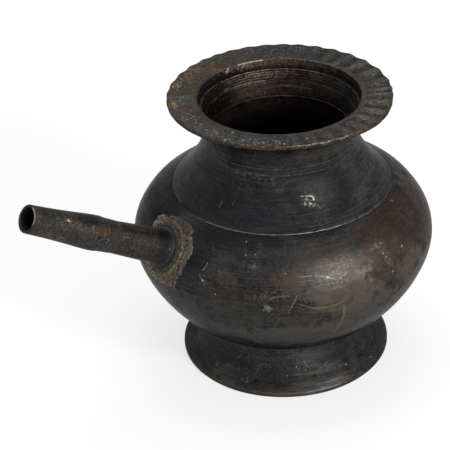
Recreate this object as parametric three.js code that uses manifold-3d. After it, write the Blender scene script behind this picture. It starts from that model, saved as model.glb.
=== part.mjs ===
// Spouted water pot in dark patinated brass: a round belly on a splayed foot, a
// waisted neck under a wide fluted rim, and a straight two-part pouring spout.
// Millimetres, +Z up. The spout points along -X. The origin is on the ground at
// the middle of the whole pot's length, so the pot's own axis is a little to +X.

import * as THREE from 'three';
import { mergeVertices } from 'three/addons/utils/BufferGeometryUtils.js';
import Module from 'manifold-3d';

const wasm = await Module();
wasm.setup();

// Driving dimensions of the turned pot
const FOOT_RADIUS = 50;
const FOOT_WAIST_RADIUS = 33.4;
const FOOT_EDGE = 2.0;
const FOOT_LAND = 2.8;
const BELLY_RADIUS = 70.5;
const GIRTH_HEIGHT = 65.5;
const SHOULDER_RADIUS = 51.1;
const SHOULDER_HEIGHT = 90.8;
const WAIST_RADIUS = 36.3;
const WAIST_HEIGHT = 115;
const NECK_TOP_RADIUS = 41.2;
const NECK_TOP_HEIGHT = 129.3;
const MOUTH_RADIUS = 37.2;
const RIM_RADIUS = 51.1;
const RIM_HEIGHT = 134.6;
const RIM_EDGE = 1.7;
const WALL = 2.1;

// Driving dimensions of the spout, measured along its axis from the pot's axis
const SPOUT_RISE = THREE.MathUtils.degToRad(31.2);
const SPOUT_AIM_HEIGHT = 37.6;
const SPOUT_LENGTH = 154;
const SLEEVE_LENGTH = 38;
const SLEEVE_TIP_RADIUS = 6.2;
const SLEEVE_END_RADIUS = 7.8;
const SLEEVE_BORE_RADIUS = 4.8;
const SOCKET_DEPTH = 13;
const ROOT_BORE_RADIUS = 5.2;
const COLLAR_RADIUS = 11;

// Flutes hammered into the rim, and the gap that touching pieces keep
const FLUTES = 36;
const FLUTE_DEPTH = 0.7;
const GAP = 0.3;

// Facets round each kind of piece
const POT_FACETS = 60;
const RIM_FACETS = FLUTES * 4;
const SPOUT_FACETS = 32;

// Finishes
const PATINA = { color: 0x3a3937, roughness: 0.42, metalness: 0.85 };
const BROWN_PATINA = { color: 0x4a3d36, roughness: 0.5, metalness: 0.75 };
const SOLDER = { color: 0x6b6250, roughness: 0.8, metalness: 0.35 };
const VERDIGRIS = { color: 0x5c6d61, roughness: 0.85, metalness: 0.2 };

function mesh(name, geometry, finish) {
  const result = new THREE.Mesh(geometry, new THREE.MeshStandardMaterial(finish));
  result.name = name;
  return result;
}

// A smooth outline through a few [radius, height] points
function smooth(points, steps) {
  const curve = new THREE.SplineCurve(points.map(([r, z]) => new THREE.Vector2(r, z)));
  return curve.getPoints(steps);
}

// The outline moved sideways by a distance, to the left of its direction
function offset(points, distance) {
  return points.map((point, i) => {
    const before = points[Math.max(i - 1, 0)];
    const after = points[Math.min(i + 1, points.length - 1)];
    const along = after.clone().sub(before).normalize();
    return new THREE.Vector2(point.x - along.y * distance, point.y + along.x * distance);
  });
}

// A solid of revolution round +Z from a closed outline, or one that starts and ends on the axis
function turned(outline, facets) {
  const onAxis = outline[0].x === 0;
  const profile = onAxis ? outline : [...outline, outline[0]];
  return new THREE.LatheGeometry(profile, facets).rotateX(Math.PI / 2);
}

function toSolid(geometry) {
  const bare = geometry.clone();
  bare.deleteAttribute('normal');
  bare.deleteAttribute('uv');
  const merged = mergeVertices(bare, 1e-4);
  const corners = merged.index.array;
  const kept = [];
  for (let i = 0; i < corners.length; i += 3) {
    const [a, b, c] = [corners[i], corners[i + 1], corners[i + 2]];
    if (a !== b && b !== c && c !== a) kept.push(a, b, c);
  }
  return new wasm.Manifold(new wasm.Mesh({
    numProp: 3,
    vertProperties: new Float32Array(merged.attributes.position.array),
    triVerts: new Uint32Array(kept),
  }));
}

function toGeometry(solid) {
  const result = solid.getMesh();
  const geometry = new THREE.BufferGeometry();
  geometry.setAttribute('position', new THREE.BufferAttribute(result.vertProperties, 3));
  geometry.setIndex(new THREE.BufferAttribute(result.triVerts, 1));
  geometry.computeVertexNormals();
  return geometry;
}

// Belly: one raised bowl from the bottom to the shoulder line
const bellyOutline = smooth([
  [0, 13.5],
  [14, 14.3],
  [25, 16.3],
  [35.8, 20.2],
  [48.9, 27],
  [57.9, 36],
  [64.2, 45],
  [68.1, 53],
  [70.1, 59.5],
  [BELLY_RADIUS, GIRTH_HEIGHT],
  [69.1, 72],
  [65.9, 78],
  [61.1, 83.9],
  [55.6, 88],
  [SHOULDER_RADIUS + 0.2, SHOULDER_HEIGHT - 0.2],
], 20);
bellyOutline[0].x = 0;
const bellyInside = offset(bellyOutline, WALL);
bellyInside[0].x = 0;
const bellyBlank = toSolid(turned([...bellyOutline, ...bellyInside.toReversed()], POT_FACETS));

// The space that the belly fills, grown by a distance, for what is seated on it
function bellyEnvelope(distance) {
  const grown = offset(bellyOutline, -distance);
  grown[0].x = 0;
  const top = new THREE.Vector2(0, grown.at(-1).y);
  return toSolid(turned([...grown, top], POT_FACETS));
}

// Spout frame: its +Z runs out along the spout, its +X is up across the mouth
const spoutFrame = new THREE.Group();
spoutFrame.position.z = SPOUT_AIM_HEIGHT;
spoutFrame.rotation.y = SPOUT_RISE - Math.PI / 2;
spoutFrame.updateMatrix();
const intoSpout = spoutFrame.matrix.clone().invert();

function drill(radius, from, to) {
  const bit = new THREE.CylinderGeometry(radius, radius, to - from, SPOUT_FACETS);
  return bit.rotateX(Math.PI / 2).translate(0, 0, (from + to) / 2);
}

const ROOT = 77;
const pourHole = toSolid(drill(ROOT_BORE_RADIUS, ROOT - 25, ROOT + 15).applyMatrix4(spoutFrame.matrix));
const belly = mesh('belly_bowl', toGeometry(bellyBlank.subtract(pourHole)), PATINA);

// Neck: a waisted collar that flares down to the shoulder line and up under the rim
const neckOutline = smooth([
  [SHOULDER_RADIUS - 0.1, SHOULDER_HEIGHT + 0.2],
  [44.8, 97.3],
  [40, 104],
  [37, 110],
  [WAIST_RADIUS, WAIST_HEIGHT],
  [36.8, 120.5],
  [38.5, 125.5],
  [NECK_TOP_RADIUS, NECK_TOP_HEIGHT],
], 11);
const neckInside = smooth([
  [35.8, NECK_TOP_HEIGHT],
  [34.4, 124],
  [33.2, 120],
  [32.5, WAIST_HEIGHT + 1],
  [33.9, 109],
  [37.7, 102.2],
  [43.2, 95.5],
  [SHOULDER_RADIUS - 1.5, SHOULDER_HEIGHT - 1.5],
], 9);
const neck = mesh('neck_collar', turned([...neckOutline, ...neckInside], POT_FACETS), PATINA);

// Rim: a wide dished flange, its flutes deepening towards the scalloped edge
const rimOutline = [
  [36.4, NECK_TOP_HEIGHT + GAP],
  [NECK_TOP_RADIUS, NECK_TOP_HEIGHT + GAP],
  [46.5, 131.3],
  [50.3, RIM_HEIGHT - RIM_EDGE - 0.2],
  [RIM_RADIUS, RIM_HEIGHT - RIM_EDGE + 0.2],
  [RIM_RADIUS, RIM_HEIGHT - 0.4],
  [RIM_RADIUS - 0.5, RIM_HEIGHT],
  [47.5, 134.4],
  [44, 134.05],
  [40.6, 133.75],
  [MOUTH_RADIUS + 0.5, 133.6],
  [MOUTH_RADIUS, 133.1],
  [36.7, 131.4],
].map(([r, z]) => new THREE.Vector2(r, z));
const rimGeometry = turned(rimOutline, RIM_FACETS);
const rimPoints = rimGeometry.attributes.position;
const FLUTE_START = 40.5;
for (let i = 0; i < rimPoints.count; i += 1) {
  const [x, y, z] = [rimPoints.getX(i), rimPoints.getY(i), rimPoints.getZ(i)];
  const reach = (Math.hypot(x, y) - FLUTE_START) / (RIM_RADIUS - FLUTE_START);
  if (reach <= 0 || z < 132) continue;
  const wave = Math.cos(FLUTES * Math.atan2(y, x)) * FLUTE_DEPTH / 2;
  rimPoints.setZ(i, z + wave * reach);
}
rimGeometry.computeVertexNormals();
const rim = mesh('rim_flange', rimGeometry, PATINA);

// Foot: a splayed trumpet ring, open underneath
const footOutline = smooth([
  [FOOT_WAIST_RADIUS, 18.8],
  [34, 16],
  [35.8, 12.4],
  [39, 8.8],
  [43.4, 5.5],
  [48.2, 3.1],
  [FOOT_RADIUS, FOOT_EDGE],
], 8);
const footInside = smooth([
  [FOOT_RADIUS - FOOT_LAND, 0],
  [42.6, 3.2],
  [37.6, 6.8],
  [34, 10.8],
  [31.8, 14.8],
  [31.1, 17.8],
], 5);
const footLand = [new THREE.Vector2(FOOT_RADIUS, 0)];
const foot = mesh('foot_ring', turned([...footOutline, ...footLand, ...footInside].toReversed(), POT_FACETS), PATINA);

// Solder run round the inside of the foot, in the corner under the bowl
const footSolderOutline = [
  [26.4, 16.3],
  [28.9, 15.3],
  [30.3, 13.4],
  [31.2, 14.6],
  [30.8, 16.2],
  [30.6, 17.5],
].map(([r, z]) => new THREE.Vector2(r, z));
const footSolder = mesh('foot_solder', turned(footSolderOutline, POT_FACETS), SOLDER);

// Spout root: a tapered tube with a bead above its flared collar, cut to sit on the belly
const SLEEVE_END = SPOUT_LENGTH - SLEEVE_LENGTH;
const SOCKET_END = SLEEVE_END + SOCKET_DEPTH;
const rootOutline = [
  [COLLAR_RADIUS - 1.2, 66],
  [COLLAR_RADIUS, 75],
  [COLLAR_RADIUS, 77],
  [COLLAR_RADIUS - 0.4, 77.6],
  [COLLAR_RADIUS - 1.1, 77.6],
  [9.3, 77.2],
  [9.5, 78.3],
  [9.2, 79.1],
  [8.5, 79.7],
  [8.1, 82],
  [7.85, 88],
  [7.6, 96],
  [7.25, 106],
  [6.95, SLEEVE_END - 0.6],
  [6.7, SLEEVE_END + 0.8],
  [6.35, SOCKET_END - GAP],
  [SLEEVE_BORE_RADIUS + 0.3, SOCKET_END - GAP],
  [ROOT_BORE_RADIUS + 0.6, 90],
  [ROOT_BORE_RADIUS + 0.6, 66],
].map(([r, s]) => new THREE.Vector2(r, s));
const rootBlank = toSolid(turned(rootOutline, SPOUT_FACETS));
const seat = bellyEnvelope(GAP).transform(intoSpout.elements);
const root = mesh('spout_root', toGeometry(rootBlank.subtract(seat)), BROWN_PATINA);

// Spout sleeve: the outer pipe, from its belled end to the square-cut mouth
const sleeveOutline = [
  [7.05, SLEEVE_END],
  [SLEEVE_END_RADIUS - 0.25, SLEEVE_END],
  [SLEEVE_END_RADIUS, SLEEVE_END + 1.5],
  [SLEEVE_END_RADIUS, SLEEVE_END + 5],
  [7.2, SPOUT_LENGTH - 24],
  [6.55, SPOUT_LENGTH - 12],
  [SLEEVE_TIP_RADIUS, SPOUT_LENGTH - 1],
  [SLEEVE_TIP_RADIUS - 0.2, SPOUT_LENGTH],
  [SLEEVE_BORE_RADIUS, SPOUT_LENGTH],
  [SLEEVE_BORE_RADIUS + 0.3, SOCKET_END + 0.2],
  [6.65, SOCKET_END],
].map(([r, s]) => new THREE.Vector2(r, s));
const sleeve = mesh('spout_sleeve', turned(sleeveOutline, SPOUT_FACETS), BROWN_PATINA);

// Brazed fillet that tapers from the sleeve's end down to the root tube
const filletOutline = [
  [7.3, SLEEVE_END - GAP],
  [7.45, SLEEVE_END - 4],
  [7.6, SLEEVE_END - 8.5],
  [7.75, SLEEVE_END - 4.5],
  [7.75, SLEEVE_END - GAP],
].map(([r, s]) => new THREE.Vector2(r, s));
const fillet = mesh('sleeve_fillet', turned(filletOutline, SPOUT_FACETS), VERDIGRIS);

// Solder smeared on the belly round the collar, wider on one side and ragged all round
const PATCH_RADIUS = 15.4;
const PATCH_LEAN = 1.2;
const PATCH_LEANS_TO = -Math.PI / 3;
const patchEdge = new THREE.Shape();
for (let i = 0; i < 40; i += 1) {
  const turn = i * Math.PI / 20;
  const ragged = 0.7 * Math.sin(3 * turn + 3.3) + 0.6 * Math.sin(5 * turn + 0.7) + 0.4 * Math.sin(11 * turn);
  const radius = PATCH_RADIUS + PATCH_LEAN * Math.cos(turn - PATCH_LEANS_TO) + ragged;
  if (i === 0) patchEdge.moveTo(radius, 0);
  else patchEdge.lineTo(radius * Math.cos(turn), radius * Math.sin(turn));
}
const patchCutter = new THREE.ExtrudeGeometry(patchEdge, { depth: 22, bevelEnabled: false });
const patchCore = drill(COLLAR_RADIUS + GAP, 55, 100);
const patchSolid = toSolid(patchCutter.translate(0, 0, ROOT - 15))
  .intersect(bellyEnvelope(GAP + 0.7).transform(intoSpout.elements))
  .subtract(seat)
  .subtract(toSolid(patchCore));
const patch = mesh('root_solder', toGeometry(patchSolid), SOLDER);

// The whole pot, centred on its length with the foot on the ground
spoutFrame.add(root, sleeve, fillet, patch);
const lipReach = SPOUT_LENGTH * Math.cos(SPOUT_RISE) + (SLEEVE_TIP_RADIUS - 0.2) * Math.sin(SPOUT_RISE);
const pot = new THREE.Group();
pot.position.x = (lipReach - BELLY_RADIUS) / 2;
pot.add(belly, neck, rim, foot, footSolder, spoutFrame);

const waterPot = new THREE.Group();
waterPot.add(pot);

export default waterPot;
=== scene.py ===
import math

import bmesh
import bpy
import numpy as np
from mathutils import Matrix, Vector, noise


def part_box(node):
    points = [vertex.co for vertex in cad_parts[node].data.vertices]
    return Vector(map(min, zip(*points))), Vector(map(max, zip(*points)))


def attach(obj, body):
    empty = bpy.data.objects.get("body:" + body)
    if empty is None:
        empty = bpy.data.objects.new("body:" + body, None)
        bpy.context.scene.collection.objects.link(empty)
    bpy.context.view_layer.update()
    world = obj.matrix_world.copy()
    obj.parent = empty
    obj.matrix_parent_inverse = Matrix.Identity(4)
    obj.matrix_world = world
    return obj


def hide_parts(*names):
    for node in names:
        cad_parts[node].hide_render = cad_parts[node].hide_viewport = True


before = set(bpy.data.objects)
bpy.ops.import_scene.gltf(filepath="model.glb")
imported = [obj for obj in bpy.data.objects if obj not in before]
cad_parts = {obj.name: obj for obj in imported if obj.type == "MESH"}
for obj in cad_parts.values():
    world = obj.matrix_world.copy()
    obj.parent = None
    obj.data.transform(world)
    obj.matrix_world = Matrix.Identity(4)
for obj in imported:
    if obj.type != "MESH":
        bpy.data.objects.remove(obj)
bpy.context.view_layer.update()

# Belly: one bowl hammered up from sheet brass and trued on a lathe, now dark with
# tarnish. It ends in a narrow lip at the shoulder, where the neck is soldered on,
# and a slanting hole is drilled through its wall for the spout.
MM = 0.001
foot_low, foot_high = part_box("foot_ring")
AXIS = (foot_low.x + foot_high.x) / 2
FRONT = math.radians(-125.3)
WALL = 2.1
ROUND_STEPS = 300
BELLY_MIDDLE = 55
BELLY_RADIUS = 70.5
BELLY_UNEVEN = 0.22
SET_IN = 0.06
LIP_HEIGHT = 90
BELLY_POINTS = [
    (0, 13.5), (14, 14.3), (25, 16.3), (35.8, 20.2), (48.9, 27), (57.9, 36), (64.2, 45), (68.1, 53),
    (70.1, 59.5), (70.5, 65.5), (69.1, 72), (65.9, 78), (61.1, 83.9), (55.6, 88), (51.42, 90.5),
]
# Dents, and one fuller place: where round and up, how wide in degrees, how high and how deep
BELLY_DENTS = [
    (-18, 72, 9, 7, 0.30), (9, 52, 10, 8, 0.35), (34, 70, 8, 9, 0.30), (61, 60, 9, 8, 0.35),
    (128, 68, 11, 8, 0.40), (-120, 56, 10, 9, 0.35), (178, 48, 9, 7, 0.35), (-92, 84, 34, 9, -0.6),
]


def smooth(points, steps):
    """A curve through points, evenly stepped between them."""
    points = np.array(points, float)
    padded = np.vstack([points[:1], points, points[-1:]])
    place = np.linspace(0, len(points) - 1, steps + 1)
    index = np.minimum(place.astype(int), len(points) - 2)
    share = (place - index)[:, None]
    before, here, there, after = (padded[index + k] for k in range(4))
    leave = (there - before) / 2
    arrive = (after - here) / 2
    cube = 2 * (here - there) + leave + arrive
    square = 3 * (there - here) - 2 * leave - arrive
    return ((cube * share + square) * share + leave) * share + here


def offset(outline, distance):
    """The outline moved to the left of its direction."""
    along = np.gradient(outline, axis=0)
    along /= np.linalg.norm(along, axis=1)[:, None]
    moved = outline + distance * np.stack([-along[:, 1], along[:, 0]], axis=1)
    moved[:, 0] = np.maximum(moved[:, 0], 0)
    return moved


def hand_made(turn, along, size, seed):
    """The slow unevenness of hammered metal, from 0 to size."""
    dice = np.random.default_rng(seed)
    layers = 8
    total = 0
    for _ in range(layers):
        waves = dice.integers(1, 8)
        slant = dice.uniform(-0.14, 0.14)
        total = total + np.sin(waves * turn + slant * along + dice.uniform(0, 2 * np.pi))
    return size * (0.5 + total / (2 * layers))


def ramp(value, start, length, least=0):
    """From least to 1 over a length that begins at start; a negative length runs downwards."""
    return np.clip((value - start) / length, least, 1)


SAME_POINT = 1e-6
SHARP_ANGLE = math.radians(38)


def skin(name, rows, inside_from=None):
    """A closed skin through a ring of outlines; its rows from inside_from on are the inner wall."""
    turns, count = rows.shape[:2]
    corner = np.arange(turns * count).reshape(turns, count)
    following = np.roll(corner, -1, axis=0)
    faces = np.stack([corner, following, np.roll(following, -1, axis=1), np.roll(corner, -1, axis=1)], axis=2)
    mesh = bpy.data.meshes.new(name)
    mesh.from_pydata((rows.reshape(-1, 3) * MM).tolist(), [], faces.reshape(-1, 4).tolist())
    if inside_from is not None:
        inner = np.tile(np.arange(count) >= inside_from, turns)
        mesh.polygons.foreach_set("material_index", inner.astype(np.int32))
    work = bmesh.new()
    work.from_mesh(mesh)
    bmesh.ops.remove_doubles(work, verts=work.verts, dist=SAME_POINT)
    bmesh.ops.recalc_face_normals(work, faces=work.faces)
    work.to_mesh(mesh)
    work.free()
    mesh.shade_smooth()
    mesh.set_sharp_from_angle(angle=SHARP_ANGLE)
    piece = bpy.data.objects.new(name, mesh)
    bpy.context.scene.collection.objects.link(piece)
    return piece


def turned(outline, turns, shape=None, to_row=None):
    """Rings of points turned from an outline of (radius, height) in mm, round the pot's axis or another."""
    turn = np.linspace(0, 2 * np.pi, turns, endpoint=False)[:, None]
    radius = np.tile(outline[:, 0], (turns, 1))
    height = np.tile(outline[:, 1], (turns, 1))
    if shape is not None:
        radius, height = shape(radius, height, turn)
    points = np.stack([radius * np.cos(turn), radius * np.sin(turn), height], axis=2)
    if to_row is not None:
        return points @ to_row.T + SPOUT_START
    return points + np.array([AXIS / MM, 0, 0])


def drill(piece, bit):
    """Cuts the bit out of the piece, and takes the bit away."""
    cut = piece.modifiers.new("cut", "BOOLEAN")
    cut.object = bit
    cut.solver = "EXACT"
    ready = piece.evaluated_get(bpy.context.evaluated_depsgraph_get())
    piece.data = bpy.data.meshes.new_from_object(ready)
    piece.modifiers.clear()
    bpy.data.objects.remove(bit)


def beaten(radius, height, turn):
    """The belly's slow unevenness and its dents, which all but vanish at the trued lip."""
    push = SET_IN + hand_made(turn, height, BELLY_UNEVEN, seed=3)
    for around, middle, wide, high, depth in BELLY_DENTS:
        away = np.angle(np.exp(1j * (turn - FRONT - math.radians(around)))) / math.radians(wide)
        push = push + depth * np.exp(-away**2 - ((height - middle) / high) ** 2)
    below_lip = ramp(height, LIP_HEIGHT, -6, least=0.15)
    return radius * (1 - push * below_lip / BELLY_RADIUS), height


SPOUT_RISE = math.radians(31.2)
SPOUT_START = np.array([AXIS / MM, 0, 37.6])
UP_ACROSS = (math.sin(SPOUT_RISE), 0, math.cos(SPOUT_RISE))
OUT_ALONG = (-math.cos(SPOUT_RISE), 0, math.sin(SPOUT_RISE))
SPOUT_FRAME = np.array([UP_ACROSS, (0, 1, 0), OUT_ALONG]).T
POUR_HOLE = np.array([(0, 50), (5.2, 50), (5.2, 92), (0, 92)])

belly_outer = smooth(BELLY_POINTS, 130)
belly_lip = [(51.3, 90.54), (50.6, 89.6)]
belly_inner = offset(belly_outer, WALL)[::-1]
belly_inner[-1, 0] = 0
belly_outline = np.vstack([belly_outer, belly_lip, belly_inner])
belly = skin("belly_shell", turned(belly_outline, ROUND_STEPS, beaten), len(belly_outer))
drill(belly, skin("pour_hole", turned(POUR_HOLE, 48, to_row=SPOUT_FRAME)))


def add(tree, kind, values=None, **choices):
    """Adds a node. Each value is a number, a colour, a place, or the output of another node."""
    node = tree.nodes.new("ShaderNode" + kind)
    for choice, setting in choices.items():
        setattr(node, choice, setting)
    for name, value in (values or {}).items():
        socket = node.inputs[name]
        if isinstance(value, bpy.types.NodeSocket):
            tree.links.new(value, socket)
        else:
            socket.default_value = (*value, 1) if socket.type == "RGBA" else value
    return node


def sum_of(tree, operation, *values):
    """One step of arithmetic on numbers and outputs."""
    return add(tree, "Math", dict(enumerate(values)), operation=operation).outputs[0]


def times(tree, value, factor):
    return sum_of(tree, "MULTIPLY", value, factor)


def minus(tree, value, less):
    return sum_of(tree, "SUBTRACT", value, less)


def vector_sum(tree, operation, *values):
    """One step of arithmetic on vectors; a length and a dot product are numbers."""
    result = "Value" if operation in ("LENGTH", "DOT_PRODUCT") else "Vector"
    return add(tree, "VectorMath", dict(enumerate(values)), operation=operation).outputs[result]


def join(tree, *values):
    """A vector made of numbers."""
    return add(tree, "CombineXYZ", dict(enumerate(values))).outputs[0]


def split(tree, vector):
    """The three numbers in a vector or a colour."""
    return add(tree, "SeparateXYZ", {0: vector}).outputs


def spin(tree, place, angle):
    """The place turned round the upright axis."""
    return add(tree, "VectorRotate", {"Vector": place, "Angle": angle}, rotation_type="Z_AXIS").outputs[0]


def fade(tree, value, low, high, start=0.0, end=1.0):
    """From start to end, smoothly, as the value goes from low to high."""
    limits = {"Value": value, "From Min": low, "From Max": high, "To Min": start, "To Max": end}
    return add(tree, "MapRange", limits, interpolation_type="SMOOTHSTEP").outputs["Result"]


def lay(tree, mask, under, over):
    """One colour laid on another where the mask is 1."""
    return add(tree, "Mix", {0: mask, 6: under, 7: over}, data_type="RGBA").outputs[2]


def effect(name, takes, gives):
    """An empty effect: a node group with named inputs and outputs."""
    group = bpy.data.node_groups.new(name, "ShaderNodeTree")
    for socket, kind in takes.items():
        group.interface.new_socket(socket, in_out="INPUT", socket_type="NodeSocket" + kind)
    for socket, kind in gives.items():
        group.interface.new_socket(socket, in_out="OUTPUT", socket_type="NodeSocket" + kind)
    inlet = group.nodes.new("NodeGroupInput").outputs
    outlet = group.nodes.new("NodeGroupOutput").inputs
    return group, inlet, outlet


def give(group, outlet, **results):
    """Joins results to the effect's outputs; a name's underscore stands for a space."""
    for name, result in results.items():
        group.links.new(result, outlet[name.replace("_", " ")])


def place_effect(name, location, rotation):
    """Where a point lies round an axis: millimetres, degrees from the front, height and radius."""
    numbers = dict.fromkeys(["Around", "Height", "Radius", "Latitude"], "Float")
    group, _, outlet = effect(name, {}, {"Place": "Vector", **numbers})
    seat = {"Location": location, "Rotation": rotation, "Scale": (MM, MM, MM)}
    seat["Vector"] = add(group, "TexCoord").outputs["Object"]
    place = add(group, "Mapping", seat, vector_type="TEXTURE").outputs[0]
    x, y, z = split(group, place)
    radius = vector_sum(group, "LENGTH", join(group, x, y))
    around = sum_of(group, "DEGREES", sum_of(group, "ARCTAN2", y, x))
    above = minus(group, z, float(BELLY_MIDDLE))
    latitude = sum_of(group, "DEGREES", sum_of(group, "ARCTAN2", above, radius))
    give(group, outlet, Place=place, Around=around, Height=z, Radius=radius, Latitude=latitude)
    return group


on_pot = place_effect("place on the pot", (AXIS, 0, 0), (0, 0, FRONT))

# Old metal: broad clouds of tarnish, mottling, grain, flecks, and streaks left by turning
STREAK_LENGTH = 16.0
STREAK_WIDTH = 0.7
MOTTLE_SHARE = 0.2
FLECK_SIZE = 1.3
GRAIN_SIZE = 0.4
old_metal, given, result = effect(
    "old metal",
    {"Place": "Vector", "Up": "Float", "Size": "Float"},
    dict.fromkeys(["Clouds", "Mottle", "Flecks", "Grain", "Streaks"], "Float"),
)


def cloudy(tree, place, size, detail, roughness, low, high):
    """Noise with lumps of that size in mm, stretched so that low to high fill 0 to 1."""
    scale = sum_of(tree, "DIVIDE", 1.0, size)
    lumps = {"Vector": place, "Scale": scale, "Detail": detail, "Roughness": roughness}
    return fade(tree, add(tree, "TexNoise", lumps).outputs[0], low, high)


x, y, _ = split(old_metal, given["Place"])
lengths = [(x, STREAK_LENGTH), (y, STREAK_LENGTH), (given["Up"], STREAK_WIDTH)]
ring_place = join(old_metal, *(sum_of(old_metal, "DIVIDE", way, length) for way, length in lengths))
small_size = times(old_metal, given["Size"], MOTTLE_SHARE)
give(
    old_metal,
    result,
    Clouds=cloudy(old_metal, given["Place"], given["Size"], 5, 0.6, 0.36, 0.64),
    Mottle=cloudy(old_metal, given["Place"], small_size, 9, 0.78, 0.3, 0.7),
    Flecks=cloudy(old_metal, given["Place"], FLECK_SIZE, 5, 0.8, 0.3, 0.7),
    Grain=cloudy(old_metal, given["Place"], GRAIN_SIZE, 3, 0.7, 0.2, 0.8),
    Streaks=cloudy(old_metal, ring_place, 1.0, 4, 0.8, 0.3, 0.7),
)

# Scratches: one short bent stroke in each cell of a scattered pattern
scratches, given, result = effect(
    "scattered scratches",
    dict.fromkeys(["Along", "Across", "Spacing", "Width", "Share"], "Float"),
    {"Scratches": "Float"},
)
flat = join(scratches, given["Along"], given["Across"])
flat = vector_sum(scratches, "DIVIDE", flat, given["Spacing"])
cells = add(scratches, "TexVoronoi", {"Vector": flat, "Scale": 1}, voronoi_dimensions="2D").outputs
chance = split(scratches, cells["Color"])
middle = vector_sum(scratches, "SUBTRACT", flat, cells["Position"])
angle = times(scratches, chance[0], 2 * math.pi)
lengthways, sideways, _ = split(scratches, spin(scratches, middle, angle))
bend = times(scratches, times(scratches, lengthways, lengthways), 0.5)
sideways = sum_of(scratches, "ABSOLUTE", minus(scratches, sideways, bend))
reach = times(scratches, chance[1], 0.4)
inner_reach = times(scratches, reach, 0.6)
half = sum_of(scratches, "DIVIDE", given["Width"], given["Spacing"])
stroke_width = fade(scratches, sideways, 0.0, half, 1.0, 0.0)
stroke_length = fade(scratches, sum_of(scratches, "ABSOLUTE", lengthways), inner_reach, reach, 1.0, 0.0)
chosen = sum_of(scratches, "LESS_THAN", chance[2], given["Share"])
strokes = times(scratches, times(scratches, stroke_width, stroke_length), chosen)
give(scratches, result, Scratches=strokes)

# Specks: small round spots of many sizes, for corrosion pits and for bare metal
specks, given, result = effect(
    "scattered specks",
    {"Place": "Vector", **dict.fromkeys(["Spacing", "Size", "Share"], "Float")},
    {"Specks": "Float"},
)
spaced = vector_sum(specks, "DIVIDE", given["Place"], given["Spacing"])
cells = add(specks, "TexVoronoi", {"Vector": spaced, "Scale": 1}).outputs
chance = split(specks, cells["Color"])
wide = sum_of(specks, "DIVIDE", times(specks, given["Size"], chance[0]), given["Spacing"])
spot = fade(specks, cells["Distance"], times(specks, wide, 0.5), wide, 1.0, 0.0)
give(specks, result, Specks=times(specks, spot, sum_of(specks, "LESS_THAN", chance[1], given["Share"])))


def from_place(tree, given):
    """How far a point is from the named place, the shorter way round."""
    gap = vector_sum(tree, "SUBTRACT", join(tree, given["Across"], given["Up"]), given["At"])
    return vector_sum(tree, "WRAP", gap, (180, 999, 999), (-180, -999, -999))


# One area at a named place, filled by a noise: soft like a stain, or broken up into flecks
area, given, result = effect(
    "area of marks",
    {"Across": "Float", "Up": "Float", "At": "Vector", "Half size": "Vector",
     "Noise": "Float", "Fill": "Float", "Softness": "Float"},
    {"Area": "Float"},
)
gap = vector_sum(area, "DIVIDE", from_place(area, given), given["Half size"])
far = vector_sum(area, "DOT_PRODUCT", gap, gap)
inside = sum_of(area, "MAXIMUM", minus(area, 1.0, far), 0.0)
start = minus(area, 1.0, times(area, inside, given["Fill"]))
low = minus(area, start, given["Softness"])
high = sum_of(area, "ADD", start, given["Softness"])
filled = fade(area, given["Noise"], low, high)
give(area, result, Area=times(area, filled, fade(area, inside, 0.0, 0.25)))

# One bent stroke at a named place: a scratch, a drip or the edge of an old stain
stroke, given, result = effect(
    "bent stroke",
    {"Across": "Float", "Up": "Float", "At": "Vector", "Angle": "Float", "Noise": "Float",
     "Half length": "Float", "Half width": "Float", "Bend": "Float"},
    {"Stroke": "Float"},
)
gap = from_place(stroke, given)
back = times(stroke, given["Angle"], -1.0)
lengthways, sideways, _ = split(stroke, spin(stroke, gap, back))
share = sum_of(stroke, "DIVIDE", lengthways, given["Half length"])
bulge = minus(stroke, 1.0, times(stroke, share, share))
sideways = minus(stroke, sideways, times(stroke, bulge, given["Bend"]))
width = times(stroke, given["Half width"], fade(stroke, given["Noise"], 0.0, 0.7, 0.1, 1.3))
thick = fade(stroke, sum_of(stroke, "ABSOLUTE", sideways), times(stroke, width, 0.2), width, 1.0, 0.0)
ends = fade(stroke, sum_of(stroke, "ABSOLUTE", share), 0.7, 1.0, 1.0, 0.0)
give(stroke, result, Stroke=times(stroke, thick, ends))


BLACK = (0.006, 0.006, 0.007)
BLUE_BLACK = (0.014, 0.0148, 0.0175)
CHARCOAL = (0.0235, 0.023, 0.0225)
GREY_FILM = (0.037, 0.036, 0.034)
BROWN = (0.040, 0.031, 0.026)
WARM_GREY = (0.047, 0.041, 0.035)
COPPER = (0.078, 0.056, 0.046)
WORN_COPPER = (0.17, 0.125, 0.095)
BARE_BRASS = (0.42, 0.37, 0.29)
BARE_METAL = (0.34, 0.31, 0.26)
PALE_DUST_AND_GLINTS = (0.12, 0.112, 0.098)
OLD_WAX = (0.075, 0.068, 0.05)
RUST = (0.080, 0.05, 0.034)
GREEN = (0.038, 0.044, 0.037)


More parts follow.
